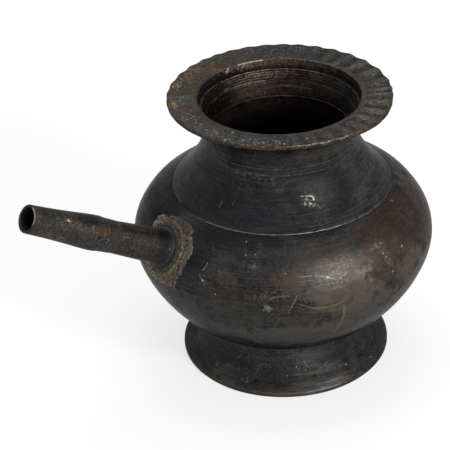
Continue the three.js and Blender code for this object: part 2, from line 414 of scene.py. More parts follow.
class Finish:
    """A tarnished metal finish that marks are laid on, one over another."""

    def __init__(self, name, place_group, up, scale, size):
        """up is what counts as up the piece, and size is the clouds' in mm.

        scale is the length in mm of one degree round the piece and of one step up it.
        """
        self.material = bpy.data.materials.new(name)
        self.material.use_nodes = True
        self.tree = self.material.node_tree
        self.tree.nodes.clear()
        self.place = add(self.tree, "Group", node_tree=place_group).outputs
        self.across = self.place["Around"]
        self.up = self.place[up]
        self.degree, self.step = scale
        self.along_mm = self.times(self.across, self.degree)
        self.up_mm = self.times(self.up, self.step)
        values = {"Place": self.place["Place"], "Up": self.up_mm, "Size": size}
        self.look = dict(add(self.tree, "Group", values, node_tree=old_metal).outputs.items())
        self.bare = 0.0

    def times(self, value, factor):
        return times(self.tree, value, factor)

    def metal(self, dark, light, film, film_share=0.5, contrast=0.25, streaks=0.15):
        """The plain tarnished metal: two tones in clouds under a mottled film."""
        self.dry = self.times(self.look["Mottle"], film_share)
        self.colour = lay(self.tree, self.look["Clouds"], dark, light)
        self.colour = lay(self.tree, self.dry, self.colour, film)
        self.shade(self.look["Flecks"], contrast)
        self.shade(self.look["Streaks"], streaks)
        self.height = sum_of(self.tree, "MULTIPLY_ADD", self.look["Flecks"], 0.6, self.look["Grain"])
        self.height = sum_of(self.tree, "MULTIPLY_ADD", self.look["Streaks"], 0.6, self.height)

    def shade(self, mask, amount):
        """Darker where the mask is 0 and lighter where it is 1."""
        level = sum_of(self.tree, "MULTIPLY_ADD", mask, 2 * amount, 1 - amount)
        values = {0: self.colour, "Scale": level}
        self.colour = add(self.tree, "VectorMath", values, operation="SCALE").outputs[0]

    def cover(self, mask, over, strength=1.0, dry=0.0, bare=0.0, depth=0.0, within=None):
        """Lays a colour where the mask is 1; dry dulls it, bare makes it metal, depth raises it."""
        mask = self.times(mask, strength)
        if within is not None:
            mask = self.times(mask, within)
        self.colour = lay(self.tree, mask, self.colour, over)
        if dry:
            self.dry = sum_of(self.tree, "MAXIMUM", self.dry, self.times(mask, dry))
        if bare:
            self.bare = sum_of(self.tree, "MAXIMUM", self.bare, self.times(mask, bare))
        if depth:
            self.height = sum_of(self.tree, "MULTIPLY_ADD", mask, depth, self.height)

    def mask(self, group, values):
        """What one of the effects gives out; a mark at a named place is measured round and up the piece."""
        if "At" in values:
            values = {"Across": self.across, "Up": self.up, **values}
        return add(self.tree, "Group", values, node_tree=group).outputs[0]

    def mark(self, noise, softness, over, at, half_size, fill, strength=1.0, **changes):
        """An oval area at a named place, filled by one of the metal's noises."""
        values = {"At": (*at, 0), "Half size": (*half_size, 1), "Noise": self.look[noise]}
        values.update({"Fill": fill, "Softness": softness})
        self.cover(self.mask(area, values), over, strength, **changes)

    def stain(self, over, at, half_size, strength=1.0, fill=1.1, **changes):
        """A soft-edged stain."""
        self.mark("Mottle", 0.4, over, at, half_size, fill, strength, **changes)

    def patches(self, over, at, half_size, fill, strength=1.0, **changes):
        """A group of blotches with crisp edges."""
        self.mark("Mottle", 0.12, over, at, half_size, fill, strength, **changes)

    def flecks(self, over, at, half_size, fill, strength=1.0, **changes):
        """A cloud of small flecks, densest in the middle."""
        self.mark("Flecks", 0.12, over, at, half_size, fill, strength, **changes)

    def dots(self, over, spots, strength=1.0, **changes):
        """Small ragged dots, each at a named place and with its half size in mm."""
        for across, up, half_size in spots:
            reach = (half_size / self.degree, half_size / self.step)
            self.mark("Flecks", 0.3, over, (across, up), reach, 1.5, strength, **changes)

    def stroke(self, over, start, end, half_width, bend=0.0, strength=1.0, **changes):
        """One bent stroke from start to end."""
        run = (end[0] - start[0], end[1] - start[1])
        values = {
            "Noise": self.look["Flecks"],
            "At": ((start[0] + end[0]) / 2, (start[1] + end[1]) / 2, 0),
            "Angle": math.atan2(run[1], run[0]),
            "Half length": math.hypot(*run) / 2,
            "Half width": half_width,
            "Bend": bend,
        }
        self.cover(self.mask(stroke, values), over, strength, **changes)

    def band(self, over, low, high, strength=1.0, **changes):
        """A colour that comes in between two places up the piece, and stays beyond the second."""
        self.cover(fade(self.tree, self.up, low, high), over, strength, **changes)

    def seen_from(self, start, full, until, gone):
        """1 over one part of the way round, counted in degrees from the front, and 0 elsewhere."""
        begun = fade(self.tree, self.across, start, full)
        return self.times(begun, fade(self.tree, self.across, until, gone, 1.0, 0.0))

    def ring(self, over, at, half_width, strength=1.0, worn=0.5, **changes):
        """A line all the way round, worn away in places."""
        off = sum_of(self.tree, "ABSOLUTE", minus(self.tree, self.up, at))
        line = fade(self.tree, off, half_width * 0.3, half_width, 1.0, 0.0)
        left = fade(self.tree, self.look["Mottle"], worn - 0.25, worn + 0.25)
        self.cover(self.times(line, left), over, strength, **changes)

    def scratch(self, over, spacing, width, share, strength, **changes):
        """Scattered fine scratches."""
        values = {"Along": self.along_mm, "Across": self.up_mm, "Spacing": spacing}
        values.update({"Width": width, "Share": share})
        self.cover(self.mask(scratches, values), over, strength, **changes)

    def speck(self, over, spacing, size, share, strength=1.0, **changes):
        """Scattered small round specks."""
        values = {"Place": self.place["Place"], "Spacing": spacing, "Size": size, "Share": share}
        self.cover(self.mask(specks, values), over, strength, **changes)

    def done(self, polish, dull, metallic=0.86, relief=0.035, edge_tint=0.4, grainy=0.2, brushed=0.0):
        """Joins up the metal. polish and dull are the roughness of the smooth and the dry parts."""
        tree = self.tree
        self.shade(self.look["Streaks"], brushed)
        self.shade(self.look["Flecks"], grainy)
        self.shade(self.look["Grain"], 1.5 * grainy)
        rough = fade(tree, self.dry, 0.0, 1.0, polish, dull)
        rough = sum_of(tree, "MULTIPLY_ADD", self.look["Grain"], 0.12, minus(tree, rough, 0.06))
        metal = minus(tree, metallic, self.times(self.dry, 0.5))
        metal = sum_of(tree, "MAXIMUM", metal, self.bare)
        bump = add(tree, "Bump", {"Strength": 1.0, "Distance": relief * MM, "Height": self.height})
        values = {
            "Base Color": self.colour,
            "Roughness": rough,
            "Metallic": metal,
            "Normal": bump.outputs[0],
            "Specular Tint": (edge_tint, edge_tint, edge_tint),
        }
        shader = add(tree, "BsdfPrincipled", values)
        ends = tree.nodes.new("ShaderNodeOutputMaterial")
        tree.links.new(shader.outputs[0], ends.inputs[0])
        return self.material


def dress(piece, node, slot, *materials):
    """Gives the piece its finishes and puts it in its place in the pot."""
    for material in materials:
        piece.data.materials.append(material)
    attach(piece, "root")
    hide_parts(node)


# Marks on the belly are placed in degrees round from the front and up from its middle
brass = Finish("belly_brass", on_pot, "Latitude", (1.2, 1.2), 34.0)
brass.metal(BLUE_BLACK, CHARCOAL, GREY_FILM, film_share=0.5, contrast=0.3, streaks=0.12)
# Broad tones, partly painted light and shade: black on the left, away from the key lamp, browner round to the
# right and behind and lighter towards the lamp, with a painted spread of the lamp's glow below its highlight
brass.stain(BLUE_BLACK, (-34, 22), (26, 18), 0.7)
brass.stain(BLACK, (-76, 10), (26, 44), 0.85, fill=1.4)
brass.stain(BROWN, (54, 12), (40, 40), 0.75, dry=0.2)
brass.stain((0.072, 0.059, 0.052), (76, -10), (36, 30), 0.75, fill=0.95)
brass.stain(WARM_GREY, (24, 4), (32, 20), 0.42, dry=0.2)
brass.stain(BLACK, (-12, 11), (18, 8), 0.5)
brass.stain(GREY_FILM, (-24, 21), (9, 7), 0.6)
brass.stain(BLACK, (-24, 32), (30, 7), 0.65)
brass.stain(BLACK, (18, 35), (22, 4), 0.6)
brass.stain((0.05, 0.039, 0.031), (18, 22), (24, 10), 0.4)
brass.stain((0.04, 0.024, 0.017), (40, 24), (7, 12), 0.4)
brass.stain((0.104, 0.084, 0.064), (24, 8), (18, 9), 0.75)
brass.stain((0.07, 0.052, 0.038), (48, 22), (12, 9), 0.6)
brass.stain((0.072, 0.06, 0.053), (88, 6), (34, 36), 0.7, fill=0.95)
brass.stain(BROWN, (128, 4), (40, 30), 0.6)
brass.stain(COPPER, (148, 14), (30, 16), 0.35)
brass.stain(WARM_GREY, (176, -8), (36, 18), 0.5)
brass.stain(BROWN, (-140, 4), (34, 22), 0.5)
brass.patches(BLACK, (104, 6), (50, 34), 0.44, 0.5)
brass.patches(COPPER, (136, -2), (40, 20), 0.36, 0.4)
brass.flecks(COPPER, (110, 6), (60, 30), 0.34, 0.45)
brass.flecks(OLD_WAX, (160, 4), (70, 28), 0.34, 0.45, dry=0.4)
# Paler in places, with painted light low on the belly standing in for the floor's reflection; browner under
# the shoulder
brass.stain((0.088, 0.074, 0.063), (56, 5), (16, 14), 0.75)
brass.stain((0.074, 0.065, 0.056), (34, -1), (18, 12), 0.7, dry=0.3)
brass.stain((0.076, 0.07, 0.064), (12, -10), (46, 10), 0.9, fill=1.4, dry=0.3)
brass.stain((0.056, 0.051, 0.047), (-43, 0), (14, 10), 0.7, dry=0.3)
brass.stain(BROWN, (-20, 10), (9, 8), 0.45)
brass.stain((0.066, 0.05, 0.039), (3, 18), (9, 7), 0.6)
brass.stain((0.112, 0.1, 0.09), (30, -14), (16, 6), 0.85, dry=0.3)
brass.stain((0.062, 0.057, 0.053), (-24, -8), (14, 6), 0.8, dry=0.3)
brass.stain(GREEN, (4, -10), (34, 8), 0.3)
brass.stain((0.024, 0.015, 0.0125), (64, 28), (28, 15), 0.75)
brass.stain((0.062, 0.049, 0.043), (88, 22), (13, 14), 0.85)
# Dry films and blotches break the tones up
SMEAR = (0.052, 0.05, 0.046)
brass.mark("Streaks", 0.15, SMEAR, (0, 4), (64, 30), 0.42, 0.25, dry=0.2)
brass.patches((0.066, 0.056, 0.045), (8, 0), (38, 15), 0.46, 0.55, dry=0.3)
brass.patches(BLACK, (-4, 8), (60, 26), 0.4, 0.4)
brass.patches((0.11, 0.104, 0.075), (33, 15.5), (7, 6), 0.55, 0.6, dry=0.5)
brass.flecks((0.13, 0.11, 0.08), (10, 11.5), (8, 3.4), 0.5, 0.5, dry=0.4)
brass.mark("Mottle", 0.2, OLD_WAX, (11.5, 12), (12, 6.5), 0.7, 0.45, dry=0.6)
# Copper, rust and old wax in flecks
brass.flecks(COPPER, (-13, 22.3), (7, 3.6), 0.45, 0.6)
brass.flecks(COPPER, (-3, 18.3), (5, 3.2), 0.45, 0.6)
brass.flecks(COPPER, (2, 4), (8, 3.2), 0.4, 0.5)
brass.flecks(COPPER, (53, 15), (11, 9), 0.45, 0.5)
brass.flecks(RUST, (44, 18), (6, 12), 0.42, 0.5)
brass.flecks(COPPER, (66, 24), (10, 9), 0.45, 0.4)
brass.flecks(COPPER, (10, 8), (60, 26), 0.3, 0.3)
brass.patches((0.05, 0.035, 0.036), (-10, 13), (34, 13), 0.42, 0.5)
brass.patches((0.054, 0.036, 0.036), (-22, 17), (5, 5), 0.75, 0.7)
brass.mark("Clouds", 0.15, GREEN, (-4, 4), (50, 22), 0.3, 0.15)
brass.flecks(OLD_WAX, (-4, 10), (50, 22), 0.3, 0.25, dry=0.4)
brass.flecks(BLACK, (10, 6), (60, 24), 0.3, 0.25)
brass.flecks(COPPER, (-30, 14.5), (5, 3.5), 0.42, 0.6)
# Dirt left under the spout, dusty flecks, and pale flecks painted as glints in the key lamp's highlight
brass.patches((0.05, 0.042, 0.034), (-57, 2), (16, 15), 0.6, 0.8, dry=0.5)
brass.flecks(OLD_WAX, (-58, 3), (16, 14), 0.45, 0.8, dry=0.6)
brass.flecks(PALE_DUST_AND_GLINTS, (-56, 5), (14, 10), 0.3, 0.6, dry=0.6)
brass.flecks(PALE_DUST_AND_GLINTS, (-6, 12.5), (9, 3), 0.4, 0.5, dry=0.5)
# Painted glints: pale, partly bare flecks in the key lamp's highlight
brass.flecks(PALE_DUST_AND_GLINTS, (20, 16), (12, 9), 0.36, 0.5, bare=0.8)
brass.flecks((0.19, 0.17, 0.12), (-6.2, 7.8), (2.6, 2.2), 0.6, 0.8, dry=0.6)
brass.flecks(PALE_DUST_AND_GLINTS, (34.8, 16.2), (2.4, 2), 0.55, 0.6, dry=0.7)
# Long scratches, a drip and small nicks
brass.stroke(WORN_COPPER, (4.2, 10), (23.4, 8.4), 0.34, bend=-2.7, strength=0.8, bare=0.9)
brass.stroke((0.15, 0.125, 0.09), (21.6, 7), (19, -12.5), 0.7, bend=1.6, strength=0.6, dry=0.6)
brass.stroke(PALE_DUST_AND_GLINTS, (-6.6, 11), (3.2, 12.2), 0.5, bend=0.9, strength=0.55, dry=0.5)
brass.stroke(BARE_METAL, (4.6, 13.2), (0.6, 5.8), 0.2, bend=0.4, strength=0.4)
brass.stroke(WORN_COPPER, (-33.6, 16.2), (-29.6, 12.6), 0.2, bend=-0.3, strength=0.7)
brass.stroke(BARE_METAL, (5, 18.8), (20, 16.2), 0.22, bend=1.2, strength=0.3, bare=0.3)
for start, end in [((-13, 22), (-10, 23.4)), ((-12.6, 23.8), (-10.6, 21.4)), ((-11.4, 24.2), (-11.8, 21.2))]:
    brass.stroke((0.16, 0.125, 0.1), start, end, 0.2, strength=0.7)
brass.stroke(PALE_DUST_AND_GLINTS, (14, 2.2), (10, -0.6), 0.25, strength=0.6)
brass.stroke(BARE_METAL, (-31.4, 21.6), (-33, 17.6), 0.17, bend=0.6, strength=0.7)
brass.stroke(PALE_DUST_AND_GLINTS, (-26, 20), (-24.4, 16.4), 0.26, strength=0.5)
brass.flecks(PALE_DUST_AND_GLINTS, (41.5, 22), (4.5, 3), 0.42, 0.8, dry=0.4)
brass.flecks(RUST, (44, 15), (3, 7), 0.55, 0.8)
brass.flecks(OLD_WAX, (43.5, 17), (2.5, 3), 0.55, 0.8)
# Spots knocked or rubbed down to the metal
RUBBED_DOTS = [(43, 23.1, 0.4), (42.4, 19.3, 0.45), (43.2, 17.8, 0.35), (44.2, 11.7, 0.4)]
BRIGHT_DOTS = [(52.8, 17.8, 0.6), (-31.6, 14.3, 0.6), (-25.9, 10.5, 0.35), (-17.1, 31.3, 0.4)]
DULL_DOTS = [(-16.1, 26.4, 0.4), (0.5, 20.5, 0.5), (-12, 27, 0.35), (67, 32, 0.5)]
brass.dots(BARE_METAL, RUBBED_DOTS, 0.8, bare=1.0)
brass.dots(BARE_BRASS, BRIGHT_DOTS, 0.8, bare=1.0)
brass.dots(BARE_METAL, DULL_DOTS, 0.7, bare=1.0)
# Fine wear all over
brass.scratch(BARE_METAL, 11.0, 0.12, 0.5, 0.22)
brass.scratch(PALE_DUST_AND_GLINTS, 5.0, 0.12, 0.5, 0.3)
brass.scratch(COPPER, 3.4, 0.13, 0.4, 0.45)
brass.speck(PALE_DUST_AND_GLINTS, 3.4, 0.5, 0.45, 0.6, dry=0.5)
brass.speck(BLACK, 3.2, 0.8, 0.5, 0.45, depth=-1.0)
# The joint with the neck: a thin painted highlight along its edge, pale and partly bare, on the side that
# faces the light
JOINT_HIGHLIGHT = (0.3, 0.295, 0.28)
LIT_JOINT = (-56, -40, 10, 110)
lit_joint = brass.seen_from(*LIT_JOINT)
brass.ring(JOINT_HIGHLIGHT, 34.72, 0.1, 0.8, worn=0.3, bare=0.6, within=lit_joint)
belly_finish = brass.done(0.26, 0.5, edge_tint=0.27, grainy=0.06, brushed=0.25)

# Painted shade inside the pot: a dry, nearly black finish with a reddish cast stands in for the dark within
dark_inside = Finish("inside_dark_shade", on_pot, "Height", (1.0, 1.0), 22.0)
dark_inside.metal((0.006, 0.0045, 0.004), (0.012, 0.0075, 0.006), (0.018, 0.012, 0.009))
dark_inside.speck(GREEN, 6.0, 1.2, 0.3, 0.5)
inside_finish = dark_inside.done(0.6, 0.85, metallic=0.5)

dress(belly, "belly_bowl", "patinated_brass", belly_finish, inside_finish)

# Foot: a trumpet-shaped ring turned from thick sheet, open below. It carries the
# belly and stands on its flat outer edge, which is worn to brown.
FOOT_POINTS = [(33.4, 18.8), (34, 16), (35.8, 12.4), (39, 8.8), (43.4, 5.5), (48.2, 3.1), (49.6, 2.35)]
FOOT_EDGE = [(49.95, 2.0), (50, 1.6), (50, 0.35), (49.7, 0), (47.4, 0), (47.2, 0.15)]
FOOT_INSIDE = [(47.2, 0.15), (42.6, 3.2), (37.6, 6.8), (34, 10.8), (31.8, 14.8), (31.1, 17.8)]
FOOT_LINES = [(39.6, -0.03), (44.9, -0.035), (46.1, -0.03), (47.2, -0.04)]
TOOL_WIDTH = 0.5


def with_lines(outline, lines, column, width):
    """The outline with narrow lines cut to its left, or to its right where the depth is below 0.

    lines are pairs of place and depth; the place is a radius in column 0, or a height in column 1.
    """
    along = np.hypot(*np.diff(outline, axis=0).T)
    run = np.concatenate([[0], np.cumsum(along)])
    # The tool's nose is flat for two fifths of its width, and slopes on both sides
    tool = width * np.array([-0.5, -0.2, 0.2, 0.5])
    rising = np.argsort(outline[:, column])
    cuts = [np.interp(place, outline[rising, column], run[rising]) for place, _ in lines]
    stops = np.unique(np.concatenate([run] + [cut + tool for cut in cuts]))
    stops = stops[(stops >= 0) & (stops <= run[-1])]
    dense = np.stack([np.interp(stops, run, outline[:, k]) for k in range(2)], axis=1)
    depth = np.zeros(len(stops))
    for cut, (_, deep) in zip(cuts, lines):
        depth = np.where(np.abs(stops - cut) < 0.3 * width, deep, depth)
    slope = np.gradient(dense, axis=0)
    slope /= np.linalg.norm(slope, axis=1)[:, None]
    return dense + depth[:, None] * np.stack([-slope[:, 1], slope[:, 0]], axis=1)


def uneven(size, seed, about):
    """A shape that pushes a turned piece inwards, unevenly; about is its usual radius."""
    return lambda radius, height, turn: (radius * (1 - hand_made(turn, height, size, seed) / about), height)


foot_outer = with_lines(smooth(FOOT_POINTS, 60), FOOT_LINES, 0, TOOL_WIDTH)
foot_inside = smooth(FOOT_INSIDE, 30)
foot_outline = np.vstack([foot_outer, FOOT_EDGE, foot_inside])
foot_rows = turned(foot_outline, ROUND_STEPS, uneven(0.25, 11, 50))
foot = skin("foot_skirt", foot_rows, len(foot_outer) + len(FOOT_EDGE))

brass = Finish("foot_brass", on_pot, "Radius", (0.75, 1.0), 26.0)
brass.metal(BLUE_BLACK, CHARCOAL, GREY_FILM, film_share=0.5, contrast=0.34, streaks=0.16)
brass.stain(BLUE_BLACK, (-50, 42), (34, 9), 0.6)
brass.stain(WARM_GREY, (26, 45), (32, 8), 0.9)
brass.stain(BROWN, (-36, 50.4), (26, 3), 0.8, dry=0.5)
brass.stain((0.047, 0.047, 0.047), (-6, 44), (30, 7), 0.7)
brass.stain((0.052, 0.052, 0.05), (-34, 45), (18, 6), 0.8)
brass.stain((0.115, 0.108, 0.094), (4, 48.8), (24, 2.8), 0.9, fill=1.3, dry=0.3)
brass.stain((0.05, 0.05, 0.052), (16, 40.7), (12, 3), 0.6)
brass.stain(BLACK, (-92, 46), (18, 5), 0.5)
brass.stain(OLD_WAX, (-26, 47.4), (28, 3), 0.3)
brass.stain(BROWN, (160, 44), (50, 6), 0.5)
brass.patches(WARM_GREY, (180, 42), (70, 8), 0.4, 0.4)
brass.stain((0.062, 0.063, 0.063), (28, 43), (14, 3.4), 0.7)
# Painted shade: the top of the flare darkened where it goes in under the belly
brass.stain(BLACK, (36, 36), (24, 4.5), 0.6, fill=1.3)
brass.stain(BLACK, (84, 42), (24, 7), 0.4)
brass.stain(WARM_GREY, (-4, 49.5), (26, 4), 0.7, dry=0.5)
brass.stain(BROWN, (78, 49), (34, 3), 0.4, dry=0.5)
# The front of the flare is rubbed along the turning lines and painted lighter there, a painted highlight of
# the lamp's reflection
brass.mark("Streaks", 0.25, (0.115, 0.112, 0.106), (22, 47), (26, 3.8), 0.9, 0.85, bare=0.8)
brass.mark("Streaks", 0.15, BARE_METAL, (24, 47.6), (18, 2.2), 0.5, 0.4, bare=1.0)
brass.mark("Streaks", 0.15, PALE_DUST_AND_GLINTS, (14, 41), (18, 5), 0.45, 0.5)
brass.flecks(RUST, (-30, 49), (24, 3), 0.5, 0.4)
# Scratches, the engraved lines and the worn edge
brass.stroke(PALE_DUST_AND_GLINTS, (17, 42.0), (31, 38.8), 0.22, strength=0.8)
brass.stroke(PALE_DUST_AND_GLINTS, (19, 42.6), (26, 40.9), 0.2, strength=0.6)
brass.stroke(BARE_METAL, (-29, 44.6), (-26, 46.6), 0.2, strength=0.6)
brass.stroke(BARE_METAL, (-25, 44.2), (-23, 46), 0.2, strength=0.5)
brass.ring(PALE_DUST_AND_GLINTS, 44.9, 0.14, 0.12)
brass.ring(PALE_DUST_AND_GLINTS, 46.1, 0.14, 0.12)
brass.ring(BROWN, 50.0, 0.4, 0.7, worn=0.4, dry=0.4)
FOOT_DOTS = [(0.5, 41.6), (59.3, 47), (13, 40), (-24, 46), (41, 43), (7, 38.5)]
brass.dots(BARE_METAL, [(*at, 0.4) for at in FOOT_DOTS], 0.8, bare=1.0)
brass.scratch(BARE_METAL, 8.0, 0.14, 0.5, 0.35)
brass.scratch(PALE_DUST_AND_GLINTS, 3.6, 0.14, 0.5, 0.45)
brass.speck(PALE_DUST_AND_GLINTS, 3.0, 0.5, 0.45, 0.6, dry=0.5)
brass.speck(BLACK, 3.0, 0.8, 0.5, 0.45, depth=-1.0)
foot_finish = brass.done(0.37, 0.56, grainy=0.1, brushed=0.2)
dress(foot, "foot_ring", "patinated_brass", foot_finish, inside_finish)

# Foot solder: a run of soft solder in the corner between bowl and foot. It is
# lumpy and grey-brown, and shows only from below.
FOOT_SOLDER_POINTS = [(26.4, 16.3), (28.9, 15.3), (30.3, 13.4), (31.2, 14.6), (30.8, 16.2), (30.6, 17.5)]
RUN_TOP = 16.4


def run_down(radius, height, turn):
    """Slow lumps where the solder ran."""
    lump = hand_made(turn, height, 1.0, seed=23)
    lowered = ramp(height, RUN_TOP, -3)
    return radius, height + lowered * (lump - 0.2)


foot_solder = skin("solder_run", turned(smooth(FOOT_SOLDER_POINTS, 20), 180, run_down))
solder = Finish("soft_solder", on_pot, "Height", (0.5, 1.0), 9.0)
solder.metal((0.05, 0.045, 0.033), (0.09, 0.08, 0.056), (0.11, 0.10, 0.075), 0.6, 0.35)
solder.speck(BLACK, 1.6, 0.7, 0.6, 0.7, depth=-1.5)
dress(foot_solder, "foot_solder", "root_solder", solder.done(0.5, 0.8, metallic=0.55, relief=0.14))

# Neck: a waisted collar, turned inside and out, soldered to the belly at the
# shoulder line. Two lines are engraved round its waist. Rust-red crust clings to
# the lower one, and the inside keeps the turning tool's rings.
NECK_POINTS = [
    (51.12, 90.76), (44.8, 97.3), (40, 104), (37, 110), (36.3, 115), (36.8, 120.5), (38.5, 125.5),
    (41.2, 129.55),
]
NECK_INSIDE = [
    (35.8, 129.3), (34.4, 124), (33.2, 120), (32.5, 116), (33.9, 109), (37.7, 102.2), (43.2, 95.5),
    (49.6, 89.3),
]
NECK_LINES = [(92.4, 0.04), (112, 0.16), (115, 0.16)]
INNER_TOOL_WIDTH = 0.8
INNER_RINGS = [(127.9, 0.12), (126.9, 0.08), (125.7, 0.12), (124.2, 0.12), (123.5, 0.06), (116.4, -0.5)]
neck_outer = with_lines(smooth(NECK_POINTS, 100), NECK_LINES, 1, TOOL_WIDTH)
neck_inner = with_lines(smooth(NECK_INSIDE, 90), INNER_RINGS, 1, INNER_TOOL_WIDTH)
neck_outline = np.vstack([[(50.6, 89.6), (51.26, 90.58)], neck_outer, neck_inner])
neck_rows = turned(neck_outline, ROUND_STEPS, uneven(0.2, 31, 40))
neck = skin("neck_shell", neck_rows, len(neck_outer) + 2)

brass = Finish("neck_brass", on_pot, "Height", (0.72, 1.0), 26.0)
brass.metal(BLUE_BLACK, CHARCOAL, GREY_FILM, film_share=0.45, contrast=0.22, streaks=0.42)
brass.stain(BLUE_BLACK, (-20, 98), (34, 9), 0.6)
brass.stain(BROWN, (-64, 100), (8, 6), 0.6)
brass.stain(GREEN, (52, 102), (20, 9), 0.25)
brass.flecks(RUST, (-64, 101.5), (3.5, 4.5), 0.7, 0.6, dry=0.6)
brass.flecks(PALE_DUST_AND_GLINTS, (24, 96.5), (10, 3.5), 0.4, 0.6, dry=0.5)
# Painted shade: the waist darkened at the front under the rim, holding back the key lamp's glow there
brass.stain(BLACK, (26, 103), (28, 12), 0.8, fill=1.4)
brass.stain(BLACK, (-50, 101), (28, 16), 0.6)
brass.stain(BLACK, (14, 91.5), (22, 3), 0.5)
brass.stain(WARM_GREY, (34, 122), (34, 6), 0.7)
brass.stain(BROWN, (150, 98), (40, 9), 0.5)
brass.patches(WARM_GREY, (-170, 100), (60, 12), 0.4, 0.4)
# A scuffed place at the front, and crust on the lower engraved line
brass.flecks(PALE_DUST_AND_GLINTS, (17, 101), (8, 3.4), 0.38, 1.0, bare=0.8)
brass.flecks(BARE_METAL, (18.5, 101.6), (3.2, 2.2), 0.34, 0.6, bare=1.0)
brass.flecks(COPPER, (-26, 111.6), (30, 1.7), 0.45, 0.7, dry=0.6)
brass.flecks(RUST, (-22, 111), (26, 2.2), 0.4, 0.6, dry=0.6)
# The engraved lines, and the joint below
brass.ring(PALE_DUST_AND_GLINTS, 112, 0.24, 0.8, worn=0.3, bare=0.5)
brass.ring(PALE_DUST_AND_GLINTS, 115, 0.22, 0.7, worn=0.3, bare=0.5)
lit_joint = brass.seen_from(*LIT_JOINT)
# Painted highlight: the joint's edge pale and partly bare on the side facing the light
brass.ring(JOINT_HIGHLIGHT, 90.66, 0.1, 0.8, worn=0.3, bare=0.6, within=lit_joint)
brass.ring(GREY_FILM, 92.4, 0.2, 0.5)
# Rust along the line and running from it, then scratches
brass.stroke(RUST, (-46, 112.1), (-4, 111.9), 0.4, strength=0.8, dry=0.5)
brass.stroke(WORN_COPPER, (-30, 112.0), (-3, 111.9), 0.18, strength=0.6, bare=0.6)
brass.stroke(RUST, (-6.4, 111.5), (-5.2, 106.8), 0.7, bend=0.3, strength=0.7, dry=0.6)
brass.stroke(BARE_METAL, (10.5, 103.2), (20, 102.3), 0.13, bend=0.3, strength=0.9, bare=1.0)
brass.stroke(BARE_METAL, (17.5, 103.6), (20.5, 100.8), 0.14, strength=0.9, bare=1.0)
brass.stroke(PALE_DUST_AND_GLINTS, (11, 101.6), (12, 99.6), 0.16, strength=0.9)
brass.stroke(PALE_DUST_AND_GLINTS, (14.5, 101.4), (13.5, 99.4), 0.16, strength=0.9)
brass.stroke(PALE_DUST_AND_GLINTS, (21, 99.6), (22.6, 97.4), 0.2, strength=0.9)
brass.stroke(PALE_DUST_AND_GLINTS, (-38.6, 99.6), (-38.2, 96), 0.32, bend=0.5, strength=0.8)
brass.stroke(PALE_DUST_AND_GLINTS, (-29, 101), (-30.5, 98), 0.26, bend=-0.4, strength=0.7)
brass.stroke(GREY_FILM, (8, 96.6), (25, 96.4), 0.16, strength=0.6)
brass.scratch(BARE_METAL, 8.0, 0.11, 0.4, 0.12)
brass.scratch(PALE_DUST_AND_GLINTS, 3.6, 0.11, 0.5, 0.2)
brass.speck(PALE_DUST_AND_GLINTS, 3.2, 0.45, 0.4, 0.5, dry=0.5)
brass.speck(BLACK, 3.0, 0.7, 0.5, 0.4, depth=-1.0)
neck_finish = brass.done(0.35, 0.54, edge_tint=0.42, grainy=0.14, brushed=0.14)

BORE_DARK = (0.014, 0.009, 0.008)
BORE_RED = (0.044, 0.023, 0.019)
BORE_FILM = (0.04, 0.031, 0.026)
bore = Finish("neck_bore", on_pot, "Height", (0.6, 1.0), 16.0)
bore.metal(BORE_DARK, BORE_RED, BORE_FILM, film_share=0.5, contrast=0.5, streaks=0.35)
bore.stain((0.006, 0.0055, 0.0045), (-112, 122), (36, 9), 0.95, fill=1.5)
bore.stain((0.02, 0.02, 0.022), (112, 122), (24, 9), 0.8)
bore.flecks(GREEN, (-150, 124), (24, 6), 0.4, 0.5, dry=0.4)
# Pale flecks and streaks on the far wall below the lip: rubbed metal and dust, and also a painted sheen where
# light falls in
bore.flecks(PALE_DUST_AND_GLINTS, (-168, 127.4), (26, 2.4), 0.42, 0.7, bare=0.8)
bore.flecks(WORN_COPPER, (-176, 126.5), (30, 3), 0.4, 0.5, bare=0.8)
bore.flecks(GREEN, (140, 122), (24, 6), 0.5, 0.6, dry=0.4)
bore.mark("Streaks", 0.08, PALE_DUST_AND_GLINTS, (175, 121), (30, 2), 0.35, 0.5)
bore.mark("Flecks", 0.1, PALE_DUST_AND_GLINTS, (-175, 116.6), (26, 1.2), 0.6, 0.5)
# The turning tool's rings catch the light: painted highlights along them
bore.ring(BARE_METAL, 129.0, 0.2, 0.6, worn=0.4, bare=0.8)
for height, _ in INNER_RINGS:
    bore.ring(PALE_DUST_AND_GLINTS, height, 0.13, 0.7, worn=0.5)
bore.stroke(BARE_METAL, (-173, 124.0), (-120, 124.4), 0.2, strength=0.7, bare=0.8)
bore.scratch(BARE_METAL, 4.0, 0.14, 0.5, 0.4)
bore.scratch(BARE_METAL, 7.0, 0.16, 0.5, 0.5)
bore.speck(PALE_DUST_AND_GLINTS, 3.0, 0.5, 0.4, 0.6, dry=0.5)
bore.speck(BLACK, 2.6, 0.9, 0.5, 0.7)
bore.flecks(BLACK, (180, 121), (180, 9), 0.4, 0.6)
# Painted shade: darker and drier going down the bore
bore.band((0.008, 0.006, 0.005), 117.0, 106.0, dry=1.0)
bore.flecks((0.06, 0.058, 0.05), (172, 113), (40, 2.2), 0.45, 0.7)
dress(neck, "neck_collar", "patinated_brass", neck_finish, bore.done(0.45, 0.7, metallic=0.98))

# Rim: a thick dished flange soldered on the neck's top. Flutes were punched into
# it by hand, from a plain inner band out to the scalloped edge, and its outer
# edge is rubbed down to coppery metal.
FLUTE_STEP = 10
FIRST_RIDGE = 7
FLUTE_START = 38.4
FLUTE_END = 49.6
RIM_RADIUS = 51.1
FLUTE_DEPTH = 0.85
RIDGE_LIFT = 0.3
SCALLOP = 0.8
SCALLOP_FROM = 49.5
TOP_FROM = 132.6
OUTER_FROM = 43
FULLER = 0.28
FINE_ROUND_STEPS = 880
